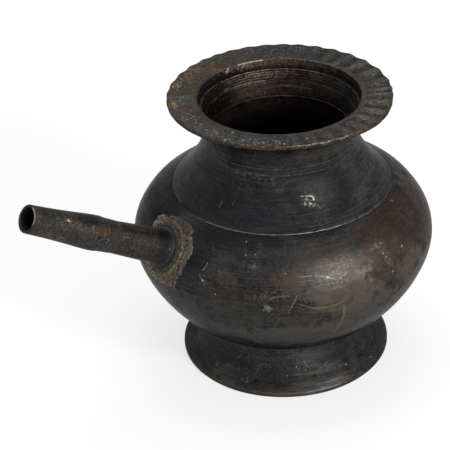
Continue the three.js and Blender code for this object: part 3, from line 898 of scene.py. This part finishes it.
# Ridges that were set a few degrees off: from, fully off, until, back in step, how far
OFF_STEP = [
    (84, 96, 99, 129, -5.5), (125, 145, 165, 179, 1.6), (-60, -42, -34, -12, 2.4),
    (-155, -132, -120, -96, -2.6),
]
# How far round the flutes are deep, with strong painted light and shade, and where they are faint
DEEP_FROM = (-25, 30)
DEEP_UNTIL = (150, 176)
FAINT = 0.3
# The rim's edge is bent down a little at the front right
BENT_FROM = (25, 58)
BENT_UNTIL = (62, 96)
BENT_DOWN = 0.9
RIM_TOP = [
    (36.45, 129.6), (36.6, 131.2), (37.05, 132.7), (37.2, 133.2), (37.5, 133.5), (38, 133.62),
    (40.6, 133.72), (44, 134.0), (47.5, 134.3), (50.1, 134.48), (50.75, 134.4), (51.05, 134.05),
    (51.1, 133.7),
]
RIM_UNDER = [(51.1, 133.4), (51.0, 133.05), (50.5, 132.8), (46.5, 131.3), (43.5, 130.4), (41.2, 129.6)]


def between(value, low, high):
    """From 0 to 1, smoothly, as the value goes from low to high."""
    share = ramp(value, low, high - low)
    return share * share * (3 - 2 * share)


def fluted(radius, height, turn):
    """Furrows between soft ridges, spaced by eye, that fade out just inside the rim's edge."""
    around = np.degrees(np.angle(np.exp(1j * (turn - FRONT))))
    off_step = 0
    for start, full, until, back, shift in OFF_STEP:
        off_step = off_step + shift * between(around, start, full) * (1 - between(around, until, back))
    furrow = 0.5 - 0.5 * np.cos(2 * np.pi * (around - FIRST_RIDGE - off_step) / FLUTE_STEP)
    deep = FAINT + (1 - FAINT) * between(around, *DEEP_FROM) * (1 - between(around, *DEEP_UNTIL))
    deep = deep * (0.85 + 0.15 * np.sin(5 * turn) + 0.1 * np.sin(11 * turn + 1))
    begun = ramp(radius, FLUTE_START, 4)
    ended = ramp(radius, RIM_RADIUS, FLUTE_END - RIM_RADIUS, least=0.3)
    top = ramp(height, TOP_FROM, 1.0)
    sink = FLUTE_DEPTH * deep * furrow * begun * ended
    lift = RIDGE_LIFT * begun * top
    edge = ramp(radius, SCALLOP_FROM, 1.5)
    nicks = SCALLOP * edge * furrow * (0.2 + 0.8 * between(np.abs(around), 80, 120))
    outer = ramp(radius, OUTER_FROM, 8)
    bent = between(around, *BENT_FROM) * (1 - between(around, *BENT_UNTIL)) * outer
    radius = radius + outer * (FULLER - hand_made(turn, height * 0, 0.2, 43)) + 0.5 * bent - nicks
    return radius, height + lift - sink * (0.2 + 0.8 * top) - BENT_DOWN * bent


rim_outline = np.vstack([smooth(RIM_TOP, 84), smooth(RIM_UNDER, 26)])
rim = skin("rim_ring", turned(rim_outline, FINE_ROUND_STEPS, fluted))

brass = Finish("rim_brass", on_pot, "Radius", (0.8, 1.0), 14.0)
brass.metal((0.014, 0.0135, 0.013), (0.03, 0.028, 0.025), (0.05, 0.046, 0.04), 0.6, 0.4, 0.1)

# Painted light and shade along the flutes: ridges painted lighter and furrows darker, as their flanks catch
# and lose the light
tree = brass.tree
way_round = vector_sum(tree, "MULTIPLY", brass.place["Place"], (1, 1, 0))
spoke_x, spoke_y, _ = split(tree, vector_sum(tree, "NORMALIZE", way_round))
FLUTE_MIDDLE = 44
SPOKE_WIDTH = 0.7
SPOKE_LENGTH = 3.0
spoke_scale = FLUTE_MIDDLE / SPOKE_WIDTH
scales = [(spoke_x, spoke_scale), (spoke_y, spoke_scale), (brass.up, 1 / SPOKE_LENGTH)]
spoke_place = join(tree, *(brass.times(way, scale) for way, scale in scales))
spokes = cloudy(tree, spoke_place, 1.0, 4, 0.7, 0.32, 0.68)
brass.look["Spokes"] = spokes

off_step = 0.0
for start, full, until, back, shift in OFF_STEP:
    pushed = fade(tree, brass.across, start, full, 0.0, shift)
    off_step = sum_of(tree, "MULTIPLY_ADD", pushed, fade(tree, brass.across, until, back, 1.0, 0.0), off_step)
wobble = sum_of(tree, "MULTIPLY_ADD", brass.look["Mottle"], 1.4, -0.7)
from_ridge = sum_of(tree, "ADD", minus(tree, brass.across, off_step), wobble)
phase = times(tree, minus(tree, from_ridge, float(FIRST_RIDGE)), 2 * math.pi / FLUTE_STEP)
deep = fade(tree, brass.across, *DEEP_FROM, FAINT, 1.0)
deep = times(tree, deep, fade(tree, brass.across, *DEEP_UNTIL, 1.0, FAINT))
deep = times(tree, deep, fade(tree, brass.look["Clouds"], 0.0, 1.0, 0.7, 1.1))
furrowed = times(tree, fade(tree, brass.up, 37.9, 40.5), fade(tree, brass.up, 50.8, 49.0))
flute_light_and_shade = times(tree, sum_of(tree, "COSINE", phase), times(tree, furrowed, deep))
brass.shade(sum_of(tree, "MULTIPLY_ADD", flute_light_and_shade, 0.5, 0.5), 0.6)

INNER_BAND = (0.048, 0.038, 0.034)
PURPLE_BROWN = (0.046, 0.034, 0.036)
DARK_UMBER = (0.018, 0.0145, 0.012)
RUST_BROWN = (0.064, 0.038, 0.023)
GOLD_FLECK = (0.17, 0.125, 0.075)
# Slow changes of tint round the flange
brass.stain(INNER_BAND, (70, 38.6), (110, 1.4), 0.5, dry=0.3)
TINTS = [
    ((0.046, 0.034, 0.024), (-95, 45), (70, 10)),
    ((0.05, 0.031, 0.021), (-120, 46), (18, 9)),
    ((0.058, 0.049, 0.028), (-101, 44), (12, 8)),
    ((0.03, 0.037, 0.029), (-141, 48), (13, 7)),
    ((0.046, 0.03, 0.024), (-137, 42), (16, 6)),
    ((0.04, 0.03, 0.032), (-162, 46), (15, 9)),
    ((0.024, 0.025, 0.027), (176, 46), (32, 9)),
    ((0.056, 0.042, 0.035), (-72, 46), (16, 8)),
    ((0.052, 0.052, 0.048), (-46, 45), (20, 8)),
]
for tint, at, half_size in TINTS:
    brass.stain(tint, at, half_size, 0.75)
brass.stain(BROWN, (80, 50.8), (70, 1.6), 0.7, dry=0.4)
# Blotches of corrosion
for tint, at, half_size, fill in [
    (PURPLE_BROWN, (-66, 42), (36, 6), 0.6),
    (PURPLE_BROWN, (-20, 44), (40, 7), 0.5),
    (PURPLE_BROWN, (-100, 41), (20, 4), 0.55),
    (GREEN, (-35, 43), (28, 6), 0.5),
    (GREEN, (-105, 43), (14, 6), 0.5),
    (GREEN, (-140, 48), (22, 6), 0.5),
    (GREEN, (150, 47), (30, 6), 0.4),
    (RUST_BROWN, (-124, 46), (26, 8), 0.5),
    (RUST_BROWN, (-148, 43), (30, 7), 0.45),
    (RUST_BROWN, (-80, 48), (22, 5), 0.5),
    (BLACK, (-115, 44), (60, 9), 0.5),
    (BLACK, (-60, 44), (50, 9), 0.42),
    (BLACK, (20, 45), (60, 8), 0.36),
    (BLACK, (170, 45), (60, 9), 0.44),
]:
    brass.patches(tint, at, half_size, fill, 0.75, dry=0.3)
brass.mark("Spokes", 0.12, DARK_UMBER, (-105, 44), (70, 9), 0.5, 0.5)
brass.mark("Clouds", 0.2, DARK_UMBER, (-20, 44), (50, 9), 0.5, 0.4)
brass.mark("Clouds", 0.15, (0.066, 0.05, 0.031), (-100, 44), (60, 9), 0.55, 0.5)
# Flecks, from rust and wax to gold and dust
brass.flecks(RUST_BROWN, (-110, 43), (50, 7), 0.42, 0.7)
brass.flecks(GREEN, (-95, 42), (44, 5), 0.42, 0.8, dry=0.4)
brass.flecks(OLD_WAX, (-90, 41), (50, 4), 0.36, 0.7, dry=0.4)
brass.flecks(RUST_BROWN, (-40, 48), (26, 4), 0.45, 0.7)
brass.flecks(OLD_WAX, (-84, 45), (34, 7), 0.4, 0.9, dry=0.6)
brass.flecks(OLD_WAX, (-20, 46), (50, 6), 0.42, 0.8, dry=0.6)
brass.flecks(OLD_WAX, (70, 46), (70, 8), 0.36, 0.5, dry=0.4)
brass.flecks(BLACK, (-80, 45), (90, 9), 0.45, 0.75)
for at, half_size, fill in [
    ((-79, 48.3), (6, 2.4), 0.7),
    ((-103, 48.5), (9, 2.4), 0.45),
    ((-60, 45), (26, 5), 0.3),
    ((-110, 47), (54, 6), 0.27),
]:
    brass.flecks(GOLD_FLECK, at, half_size, fill, 0.7, dry=0.4)
brass.flecks(PALE_DUST_AND_GLINTS, (-46, 46), (36, 6), 0.28, 0.6, dry=0.4)
brass.flecks(PALE_DUST_AND_GLINTS, (-14, 47), (30, 5), 0.33, 0.8, dry=0.4)
brass.flecks(PALE_DUST_AND_GLINTS, (178, 47), (44, 6), 0.25, 0.5, dry=0.4)
brass.mark("Spokes", 0.2, PALE_DUST_AND_GLINTS, (70, 46), (70, 8), 0.4, 0.2)
brass.flecks(RUST_BROWN, (52, 50), (30, 3), 0.5, 0.7)
brass.flecks(PALE_DUST_AND_GLINTS, (95, 50.5), (60, 1.4), 0.4, 0.8, dry=0.4)
brass.flecks(BLACK, (95, 50), (60, 2), 0.4, 0.5)
brass.stroke((0.05, 0.056, 0.062), (-88, 39.5), (-89, 51), 4.0, strength=0.7)
brass.shade(spokes, 0.3)
# The mouth's edge: painted shade on its inner wall, going down into the neck, and rubbed on its corner, where
# pale flecks also paint a sheen
brass.band((0.01, 0.007, 0.006), 37.4, 37.1, 0.95, dry=0.3)
brass.patches((0.045, 0.027, 0.021), (175, 36.9), (60, 1.2), 0.8, 0.8)
brass.flecks(PALE_DUST_AND_GLINTS, (-155, 36.9), (13, 1.2), 0.5, 0.9, bare=0.8)
brass.flecks(COPPER, (178, 36.9), (50, 1.2), 0.4, 0.6)
brass.ring((0.10, 0.07, 0.05), 37.5, 0.2, 0.9, worn=0.4, bare=0.5)
brass.stroke(DARK_UMBER, (-132, 37.6), (-40, 37.6), 0.8, strength=0.9, dry=0.4)
# The outer edge: brown, and rubbed to copper on its corner
brass.band((0.028, 0.021, 0.017), 50.85, 51.05, 0.85)
brass.flecks(RUST, (0, 51.6), (180, 1.2), 0.45, 0.7)
brass.ring(COPPER, 50.85, 0.16, 0.55, worn=0.6, bare=0.8)
brass.stroke(WORN_COPPER, (0, 50.85), (46, 51.1), 0.2, strength=1.0, bare=1.0)
brass.stroke(COPPER, (-40, 50.8), (2, 50.8), 0.18, strength=0.4, bare=0.8)
# Bare metal on the mouth's far corner, bright also as a painted highlight where it catches the light
brass.stroke(BARE_METAL, (-170, 37.35), (-148, 37.3), 0.22, strength=0.8, bare=1.0)
half_way_up = fade(tree, brass.place["Height"], 131.2, 132.0)
brass.mark("Flecks", 0.15, BARE_BRASS, (-140, 37), (5, 1.2), 0.56, 0.8, bare=1.0, within=half_way_up)
# Fine wear all over
RIM_DOTS = [(-20.3, 46.4), (-9.5, 46.3), (1.9, 47), (-28.4, 50), (-44, 46.2), (-30.4, 41), (14.9, 44.4)]
brass.dots(BARE_METAL, [(*at, 0.55) for at in RIM_DOTS], 0.8, dry=0.3)
brass.scratch(PALE_DUST_AND_GLINTS, 5.0, 0.16, 0.5, 0.4)
brass.speck(PALE_DUST_AND_GLINTS, 2.6, 0.5, 0.45, 0.6, dry=0.5)
brass.speck(BLACK, 2.4, 0.8, 0.5, 0.5, depth=-1.2)
dress(rim, "rim_flange", "patinated_brass", brass.done(0.4, 0.62, relief=0.06, grainy=0.36))

# Spout root: a tube drawn from sheet with a bead and a flared collar, cut to the
# belly's curve. It is dark brown, and blackest on its top by the collar.
ROOT_POINTS = [
    (9.8, 66), (10.9, 74), (11, 76.8), (10.8, 77.3), (10.1, 77.75), (9.35, 78.35), (9.0, 78.75),
    (9.05, 79.05), (9.0, 79.4), (8.75, 79.6), (8.55, 79.9), (8.3, 81), (8.1, 82.6), (7.85, 88), (7.6, 96),
    (7.25, 106), (6.95, 115.4),
]
ROOT_END = [(6.7, 116.8), (6.35, 128.7), (5.1, 128.7)]
ROOT_BORE = [(5.2, 128), (5.8, 90), (5.8, 66)]
SEAT_DEPTH = 0.4
SPOUT_STEPS = 120
ROOT_FULLER = 0.08

root_outer = smooth(ROOT_POINTS, 150)
root_outline = np.vstack([root_outer, ROOT_END, smooth(ROOT_BORE, 20)])
root_rows = turned(root_outline + [ROOT_FULLER, 0], SPOUT_STEPS, uneven(0.14, 53, 9), SPOUT_FRAME)
root = skin("spout_root_tube", root_rows, len(root_outer) + len(ROOT_END))
seat_outline = np.vstack([offset(smooth(BELLY_POINTS, 60), SEAT_DEPTH), [(0, 90)]])
drill(root, skin("belly_seat", turned(seat_outline, 180)))

on_spout = place_effect("place on the spout", tuple(SPOUT_START * MM), (0, SPOUT_RISE - math.pi / 2, 0))
VERDIGRIS = (0.085, 0.115, 0.095)
SPOUT_DARK = (0.019, 0.018, 0.0165)
SPOUT_BROWN = (0.038, 0.029, 0.025)
SOLDER_OLIVE = (0.11, 0.095, 0.06)
SOLDER_BROWN = (0.072, 0.056, 0.045)
SOLDER_GOLD = (0.20, 0.165, 0.095)
brass = Finish("spout_brass", on_spout, "Height", (0.13, 1.0), 9.0)
brass.metal(SPOUT_DARK, SPOUT_BROWN, (0.056, 0.049, 0.043), 0.5, 0.45, 0.1)
brass.stain((0.052, 0.034, 0.032), (-75, 95), (50, 9), 0.6)
brass.stain(GREY_FILM, (-80, 126), (60, 8), 0.6)
# Rust by the step, and black scorched places
brass.stain(RUST, (-57, 131.5), (24, 3.0), 0.35)
brass.stain((0.06, 0.035, 0.023), (-58, 118.8), (26, 4.0), 0.85, fill=1.2)
brass.stain(BLACK, (-25, 126), (38, 7), 0.8, dry=0.5)
brass.stain((0.016, 0.017, 0.015), (-10, 146), (48, 9), 0.85, dry=0.6)
brass.flecks(BLACK, (-25, 145), (50, 9), 0.5, 0.8, depth=-1.5)
brass.flecks(OLD_WAX, (-40, 142), (30, 9), 0.38, 0.8, dry=0.6)
brass.flecks(OLD_WAX, (-130, 144), (34, 12), 0.6, 0.8, dry=0.6)
# Dust, and a few bare spots on the sleeve
brass.flecks(PALE_DUST_AND_GLINTS, (-55, 124.5), (22, 2.5), 0.36, 0.7, dry=0.6)
brass.flecks(BARE_BRASS, (-48, 136.7), (8, 1.1), 0.8, 0.8, bare=1.0)
brass.stroke(BARE_BRASS, (-48, 135), (-46, 138.6), 1.6, strength=0.6, bare=1.0)
brass.stroke(BARE_BRASS, (-60, 136.2), (-36, 137), 0.28, strength=0.6, bare=1.0)
brass.stain(GREY_FILM, (-6, 95), (18, 14), 0.9, fill=1.5)
brass.flecks(PALE_DUST_AND_GLINTS, (-80, 108), (60, 30), 0.26, 0.5, dry=0.5)
brass.dots(BARE_METAL, [(-73, 80.6, 0.5)], 0.9, bare=1.0)
# Verdigris below the step
brass.stroke(VERDIGRIS, (-112, 121.5), (-86, 117.4), 0.45, bend=0.6, strength=0.75, dry=0.9)
brass.flecks((0.03, 0.036, 0.03), (-106, 118), (24, 5), 0.75, 0.85, dry=0.9)
# The root: blackest on its top by the collar, with a bead and a collar
brass.stain((0.022, 0.024, 0.022), (-80, 82), (110, 6), 0.8)
brass.stain(BLUE_BLACK, (-38, 82.5), (44, 5), 1.0, fill=1.6)
brass.band((0.028, 0.025, 0.017), 78.55, 78.3, 0.9, dry=0.3)
brass.ring((0.085, 0.095, 0.075), 79.2, 0.24, 0.9, worn=0.15)
brass.ring(BLACK, 78.4, 0.3, 0.9, worn=0.15, dry=0.8)
brass.ring((0.11, 0.10, 0.07), 77.6, 0.14, 0.7, worn=0.35, bare=0.5)
brass.scratch(PALE_DUST_AND_GLINTS, 5.0, 0.15, 0.5, 0.45)
brass.speck(PALE_DUST_AND_GLINTS, 2.6, 0.5, 0.45, 0.6, dry=0.5)
brass.speck(BLACK, 2.2, 0.8, 0.6, 0.6, depth=-1.2)
# The mouth, rubbed bright on its inner edge on one side, also a painted highlight where the edge catches the
# light
brass.band((0.022, 0.021, 0.018), 153.3, 153.8, 0.9, dry=0.3)
inner_edge = fade(brass.tree, brass.place["Radius"], 6.1, 5.7)
brass.mark("Mottle", 0.3, BARE_METAL, (-50, 154), (52, 1.2), 1.4, 0.7, bare=1.0, within=inner_edge)
spout_finish = brass.done(0.36, 0.62, relief=0.07, grainy=0.2)
dress(root, "spout_root", "spout_brass", spout_finish, inside_finish)

# Root solder: soft solder run round the collar and smeared by hand on the belly.
# It is rough, olive-brown and ragged, with a rubbed golden ridge round the collar.
PATCH_START = 10.3
PATCH_ROWS = 40
PATCH_STEPS = 340
RIDGE_RADIUS = 12.1
RIDGE_HEIGHT = 0.75
COLLAR_END = 77.35
UNDERSIDE = -0.3
THICKEST = 3.4
# The belly's wall is looked for between these two places down the spout
NEAREST = 50.0
FARTHEST = 100.0
HALVINGS = 30
# How far out it is smeared: degrees round from the top, and mm from the spout's middle
PATCH_EDGE = [
    (-176, 15.6), (-160, 16.4), (-148, 17), (-138, 18.4), (-126, 16.6), (-110, 16.8), (-102, 15.6),
    (-86, 16.1), (-72, 17.7), (-54, 16.5), (-43, 16), (-28, 16.7), (-6, 15), (14, 14.7), (34, 15),
    (46, 16.8), (56, 18), (68, 16), (95, 14.6), (130, 17), (160, 16.6),
]

pot_side = smooth(BELLY_POINTS[4:] + NECK_POINTS[1:3], 160)


def on_belly(up, across):
    """Points on the belly's outside, straight down the spout from (up, across), and the way out of it."""
    near = np.full(up.shape, NEAREST)
    far = np.full(up.shape, FARTHEST)
    for _ in range(HALVINGS):
        middle = (near + far) / 2
        point = np.stack([up, across, middle], axis=-1) @ SPOUT_FRAME.T + SPOUT_START
        out = np.hypot(point[..., 0] - SPOUT_START[0], point[..., 1])
        outside = out > np.interp(point[..., 2], pot_side[:, 1], pot_side[:, 0])
        far = np.where(outside, middle, far)
        near = np.where(outside, near, middle)
    lean = np.interp(point[..., 2] + 0.5, pot_side[:, 1], pot_side[:, 0])
    lean = lean - np.interp(point[..., 2] - 0.5, pot_side[:, 1], pot_side[:, 0])
    away = np.stack([(point[..., 0] - SPOUT_START[0]) / out, point[..., 1] / out, -lean], axis=-1)
    return point, away / np.linalg.norm(away, axis=-1)[..., None], middle


def lumpy(points, size):
    """Noise from -1 to 1 at each point, with lumps of that size in mm."""
    smoothness = 0.9
    finer = 2.1
    layers = 4
    heights = [noise.fractal(Vector(p), smoothness, finer, layers) for p in points.reshape(-1, 3) / size]
    return np.array(heights).reshape(points.shape[:-1])


patch_turn = np.linspace(0, 2 * np.pi, PATCH_STEPS, endpoint=False)[:, None]
# The edge's raggedness, coarse and fine, is that of a ring 16 mm out
patch_edge = np.concatenate([np.cos(patch_turn), np.sin(patch_turn), 0 * patch_turn], axis=1) * 16
ragged = 0.6 * lumpy(patch_edge, 2.0)[:, None] + 0.45 * lumpy(patch_edge + 9, 0.8)[:, None]
smeared_to = np.interp(np.degrees(patch_turn), *np.array(PATCH_EDGE).T, period=360)
patch_reach = smeared_to + ragged
row_share = np.linspace(0, 1, PATCH_ROWS)
share_out = np.concatenate([row_share, row_share[::-1][1:-1]])[None, :]
patch_radius = PATCH_START + (patch_reach - PATCH_START) * share_out
underside = np.arange(share_out.shape[1])[None, :] >= PATCH_ROWS
patch_up = patch_radius * np.cos(patch_turn)
patch_across = patch_radius * np.sin(patch_turn)
seat_point, way_out, seat_depth = on_belly(patch_up, patch_across)
lumps = lumpy(seat_point, 2.6)
fine_lumps = lumpy(seat_point + 50, 0.9)
smeared = (0.5 + 0.32 * lumps + 0.26 * fine_lumps) * np.sqrt(np.clip(1 - share_out**8, 0, 1)) - 0.08
ridge = RIDGE_HEIGHT * np.exp(-(((patch_radius - RIDGE_RADIUS) / 0.5) ** 2))
fillet_share = ramp(patch_radius, RIDGE_RADIUS, PATCH_START - RIDGE_RADIUS)
climb = np.maximum(COLLAR_END - seat_depth, 0.5) * fillet_share**1.6
thick = np.where(underside, UNDERSIDE, np.clip(smeared + ridge + climb, UNDERSIDE, THICKEST))
along_spout = fillet_share[..., None]
direction = way_out * (1 - along_spout) + np.array(OUT_ALONG) * along_spout
root_solder = skin("solder_patch", seat_point + direction * thick[..., None])

solder = Finish("root_solder", on_spout, "Radius", (0.22, 1.0), 9.0)
solder.metal(SOLDER_BROWN, SOLDER_OLIVE, (0.145, 0.122, 0.085), 0.6, 0.3, 0.0)
solder.shade(fade(solder.tree, solder.look["Flecks"], 0.3, 0.7), 0.6)
solder.shade(fade(solder.tree, solder.look["Grain"], 0.3, 0.7), 0.35)
solder.stain((0.062, 0.047, 0.042), (0, 14.5), (60, 4), 0.8, dry=0.5)
solder.patches(SOLDER_OLIVE, (-90, 14.5), (60, 3), 0.7, 0.8)
solder.flecks((0.2, 0.165, 0.1), (-80, 14), (70, 3), 0.5, 0.9, dry=0.4)
solder.flecks((0.016, 0.014, 0.011), (-60, 14.5), (150, 5), 0.42, 0.8, depth=-1.0)
solder.flecks(COPPER, (0, 14), (180, 5), 0.35, 0.4)
solder.flecks(PALE_DUST_AND_GLINTS, (-20, 15.5), (170, 3.5), 0.34, 0.7, dry=0.3)
# The ridge round the collar, rubbed gold, and painted brighter still on the side facing the light, a painted
# highlight
solder.band((0.03, 0.026, 0.017), 11.9, 11.6, 0.85)
solder.ring(SOLDER_GOLD, 10.7, 0.2, 0.7, worn=0.35, bare=0.4)
solder.ring(SOLDER_GOLD, 11.4, 0.16, 0.7, worn=0.4, bare=0.4)
solder.ring(SOLDER_BROWN, 12.15, 0.4, 0.7, worn=0.4)
lit_side = solder.seen_from(-170, -125, -30, 20)
solder.ring((0.30, 0.26, 0.165), 12.15, 0.34, 0.95, worn=0.2, bare=0.8, within=lit_side)
solder.speck(BLACK, 1.5, 0.6, 0.6, 0.7, depth=-1.5)
solder.speck(PALE_DUST_AND_GLINTS, 2.0, 0.45, 0.5, 0.6)
solder_finish = solder.done(0.42, 0.75, metallic=0.7, relief=0.12, grainy=0.5)
dress(root_solder, "root_solder", "root_solder", solder_finish)

# Spout sleeve: the outer pipe, rolled from sheet and pushed over the root tube.
# Its inner end is belled, and its mouth is cut square and rubbed bright.
SLEEVE_OUTSIDE = [
    (7.05, 116.0), (7.5, 116.05), (7.75, 116.6), (7.8, 118), (7.75, 121), (7.5, 125.5), (7.2, 130),
    (6.85, 136), (6.55, 142), (6.35, 148), (6.2, 153.2), (6.05, 153.8), (5.7, 154),
]
SLEEVE_INSIDE = [(5.0, 153.95), (4.8, 153.6), (4.85, 150), (5.1, 129.2), (6.65, 129), (6.95, 117)]
SLEEVE_FULLER = 0.14

sleeve_outer = smooth(SLEEVE_OUTSIDE, 120)
sleeve_outline = np.vstack([sleeve_outer, SLEEVE_INSIDE]) + [SLEEVE_FULLER, 0]
sleeve_rows = turned(sleeve_outline, SPOUT_STEPS, uneven(0.2, 61, 8), SPOUT_FRAME)
sleeve = skin("spout_pipe", sleeve_rows, len(sleeve_outer) + 1)
dress(sleeve, "spout_sleeve", "spout_brass", spout_finish, inside_finish)

# Sleeve fillet: brass run into the step where the sleeve meets the root tube. It
# is reddish and lumpy, with green corrosion in its lower half.
FILLET_POINTS = [
    (7.0, 116.2), (7.55, 116.1), (7.8, 115.2), (7.72, 112.5), (7.6, 109.6), (7.35, 107.2), (6.9, 106.8),
]
FILLET_START = 106.5
START_MIDDLE = 110
BARE_ROOT = 7.1


def run_in(radius, height, turn):
    """Lumps on the run's outside, and an uneven start."""
    lump = hand_made(turn * 2, height, 0.4, seed=71)
    thin = ramp(height, FILLET_START, 4, least=0.3)
    creep = hand_made(turn, height * 0, 2.4, seed=73) - 0.6
    return radius - lump * thin * (radius > BARE_ROOT), height + (height < START_MIDDLE) * creep


fillet = skin("braze_run", turned(smooth(FILLET_POINTS, 60), SPOUT_STEPS, run_in, SPOUT_FRAME))
braze = Finish("braze", on_spout, "Height", (0.13, 1.0), 5.0)
braze.metal(SPOUT_DARK, SPOUT_BROWN, (0.055, 0.047, 0.04), 0.6, 0.45, 0.0)
braze.stain((0.046, 0.037, 0.033), (-66, 109.5), (34, 5), 0.4)
braze.stain((0.06, 0.035, 0.023), (-57, 116.4), (25, 2.5), 0.9, fill=1.8)
braze.stain((0.022, 0.015, 0.013), (-28, 113.5), (20, 4), 0.8, fill=1.2)
braze.flecks(BLACK, (-60, 110), (50, 8), 0.38, 0.5)
braze.flecks((0.026, 0.033, 0.028), (-116, 113.5), (34, 4.5), 0.8, 0.9, dry=0.9)
braze.stroke(VERDIGRIS, (-87, 117.2), (-82, 113.6), 0.5, strength=0.8, dry=0.9)
braze.flecks(VERDIGRIS, (-94, 115), (14, 2.4), 0.45, 0.7, dry=0.9)
braze.ring(BLACK, 114.0, 0.26, 0.8, worn=0.2, dry=0.6)
braze.speck(BLACK, 1.8, 0.7, 0.6, 0.6, depth=-1.2)
braze.speck(PALE_DUST_AND_GLINTS, 2.4, 0.45, 0.4, 0.5)
dress(fillet, "sleeve_fillet", "braze", braze.done(0.45, 0.72, metallic=0.7, relief=0.1))

# Floor: a plain pale sheet that runs far past the pot and keeps its shadow
FLOOR_SIZE = 6.0
FLOOR_HEIGHT = -0.0002
FLOOR_WHITE = 0.86
FLOOR_GLOW = 0.7


def seen_directly(tree):
    """1 for what the camera sees, also by way of the metal, and 0 for what only gives light."""
    seen = add(tree, "LightPath").outputs
    to_eye = sum_of(tree, "MAXIMUM", seen["Is Camera Ray"], seen["Is Glossy Ray"])
    return sum_of(tree, "MAXIMUM", to_eye, seen["Is Transmission Ray"])


bpy.ops.mesh.primitive_plane_add(size=FLOOR_SIZE, location=(AXIS, 0, FLOOR_HEIGHT))
floor = bpy.context.object
floor.name = "floor_sheet"
white = bpy.data.materials.new("white_sheet")
white.use_nodes = True
white.node_tree.nodes.clear()
sheet_tree = white.node_tree
matte = add(sheet_tree, "BsdfDiffuse", {"Color": [FLOOR_WHITE] * 3}).outputs[0]
glow = add(sheet_tree, "Emission", {"Color": (1, 1, 1), "Strength": 1.0}).outputs[0]
share = times(sheet_tree, seen_directly(sheet_tree), FLOOR_GLOW)
mixed = add(sheet_tree, "MixShader", {0: share, 1: matte, 2: glow}).outputs[0]
sheet_end = sheet_tree.nodes.new("ShaderNodeOutputMaterial")
sheet_tree.links.new(mixed, sheet_end.inputs[0])
floor.data.materials.append(white)

# White room: the eye and the metal see plain white, and the object is lit a little less
world = bpy.data.worlds.new("white_room")
bpy.context.scene.world = world
world.use_nodes = True
world.node_tree.nodes.clear()
room = world.node_tree
ROOM_LIGHT = 0.7
level = sum_of(room, "MULTIPLY_ADD", seen_directly(room), 1 - ROOM_LIGHT, ROOM_LIGHT)
sky = add(room, "Background", {"Color": (1, 1, 1), "Strength": level}).outputs[0]
room_end = room.nodes.new("ShaderNodeOutputWorld")
room.links.new(sky, room_end.inputs[0])


LIT_HEIGHT = 0.08


def soft_lamp(name, azimuth, elevation, distance, size, power):
    """A soft lamp, size wide and high, that points at the pot; the azimuth is counted from +X."""
    data = bpy.data.lights.new(name, "AREA")
    data.shape = "RECTANGLE"
    data.size, data.size_y = size
    data.energy = power
    lamp = bpy.data.objects.new(name, data)
    azimuth = math.radians(azimuth)
    elevation = math.radians(elevation)
    flat_reach = math.cos(elevation)
    way = Vector((flat_reach * math.cos(azimuth), flat_reach * math.sin(azimuth), math.sin(elevation)))
    lamp.location = Vector((AXIS, 0, LIT_HEIGHT)) + way * distance
    lamp.rotation_euler = way.to_track_quat("Z", "Y").to_euler()
    bpy.context.scene.collection.objects.link(lamp)


soft_lamp("key_lamp", -83, 27, 1.2, (0.2, 0.26), 9.5)
soft_lamp("top_lamp", 60, 75, 1.3, (0.9, 0.9), 8)

# Camera: a long lens from above the front, off the spout's side, tilted a little
CAMERA_AZIMUTH = math.radians(-33.0)
CAMERA_RISE = math.radians(31.47)
CAMERA_ROLL = math.radians(-2.70)
CAMERA_DISTANCE = 0.788
AIM_RIGHT = -0.02731
AIM_HEIGHT = 0.06588
LENS_LENGTH = 133.1
SENSOR_WIDTH = 36
right = Vector((math.cos(CAMERA_AZIMUTH), math.sin(CAMERA_AZIMUTH), 0))
level_view = Vector((-math.sin(CAMERA_AZIMUTH), math.cos(CAMERA_AZIMUTH), 0))
view = level_view * math.cos(CAMERA_RISE) - Vector((0, 0, math.sin(CAMERA_RISE)))
up = right.cross(view)
rolled_right = right * math.cos(CAMERA_ROLL) + up * math.sin(CAMERA_ROLL)
rolled_up = up * math.cos(CAMERA_ROLL) - right * math.sin(CAMERA_ROLL)
lens = bpy.data.cameras.new("camera")
lens.lens = LENS_LENGTH
lens.sensor_width = SENSOR_WIDTH
camera = bpy.data.objects.new("camera", lens)
seat = Vector((AXIS, 0, AIM_HEIGHT)) + right * AIM_RIGHT - view * CAMERA_DISTANCE
facing = Matrix((rolled_right, rolled_up, -view)).transposed().to_4x4()
camera.matrix_world = Matrix.Translation(seat) @ facing
bpy.context.scene.collection.objects.link(camera)
bpy.context.scene.camera = camera
bpy.context.scene.view_settings.view_transform = "Standard"
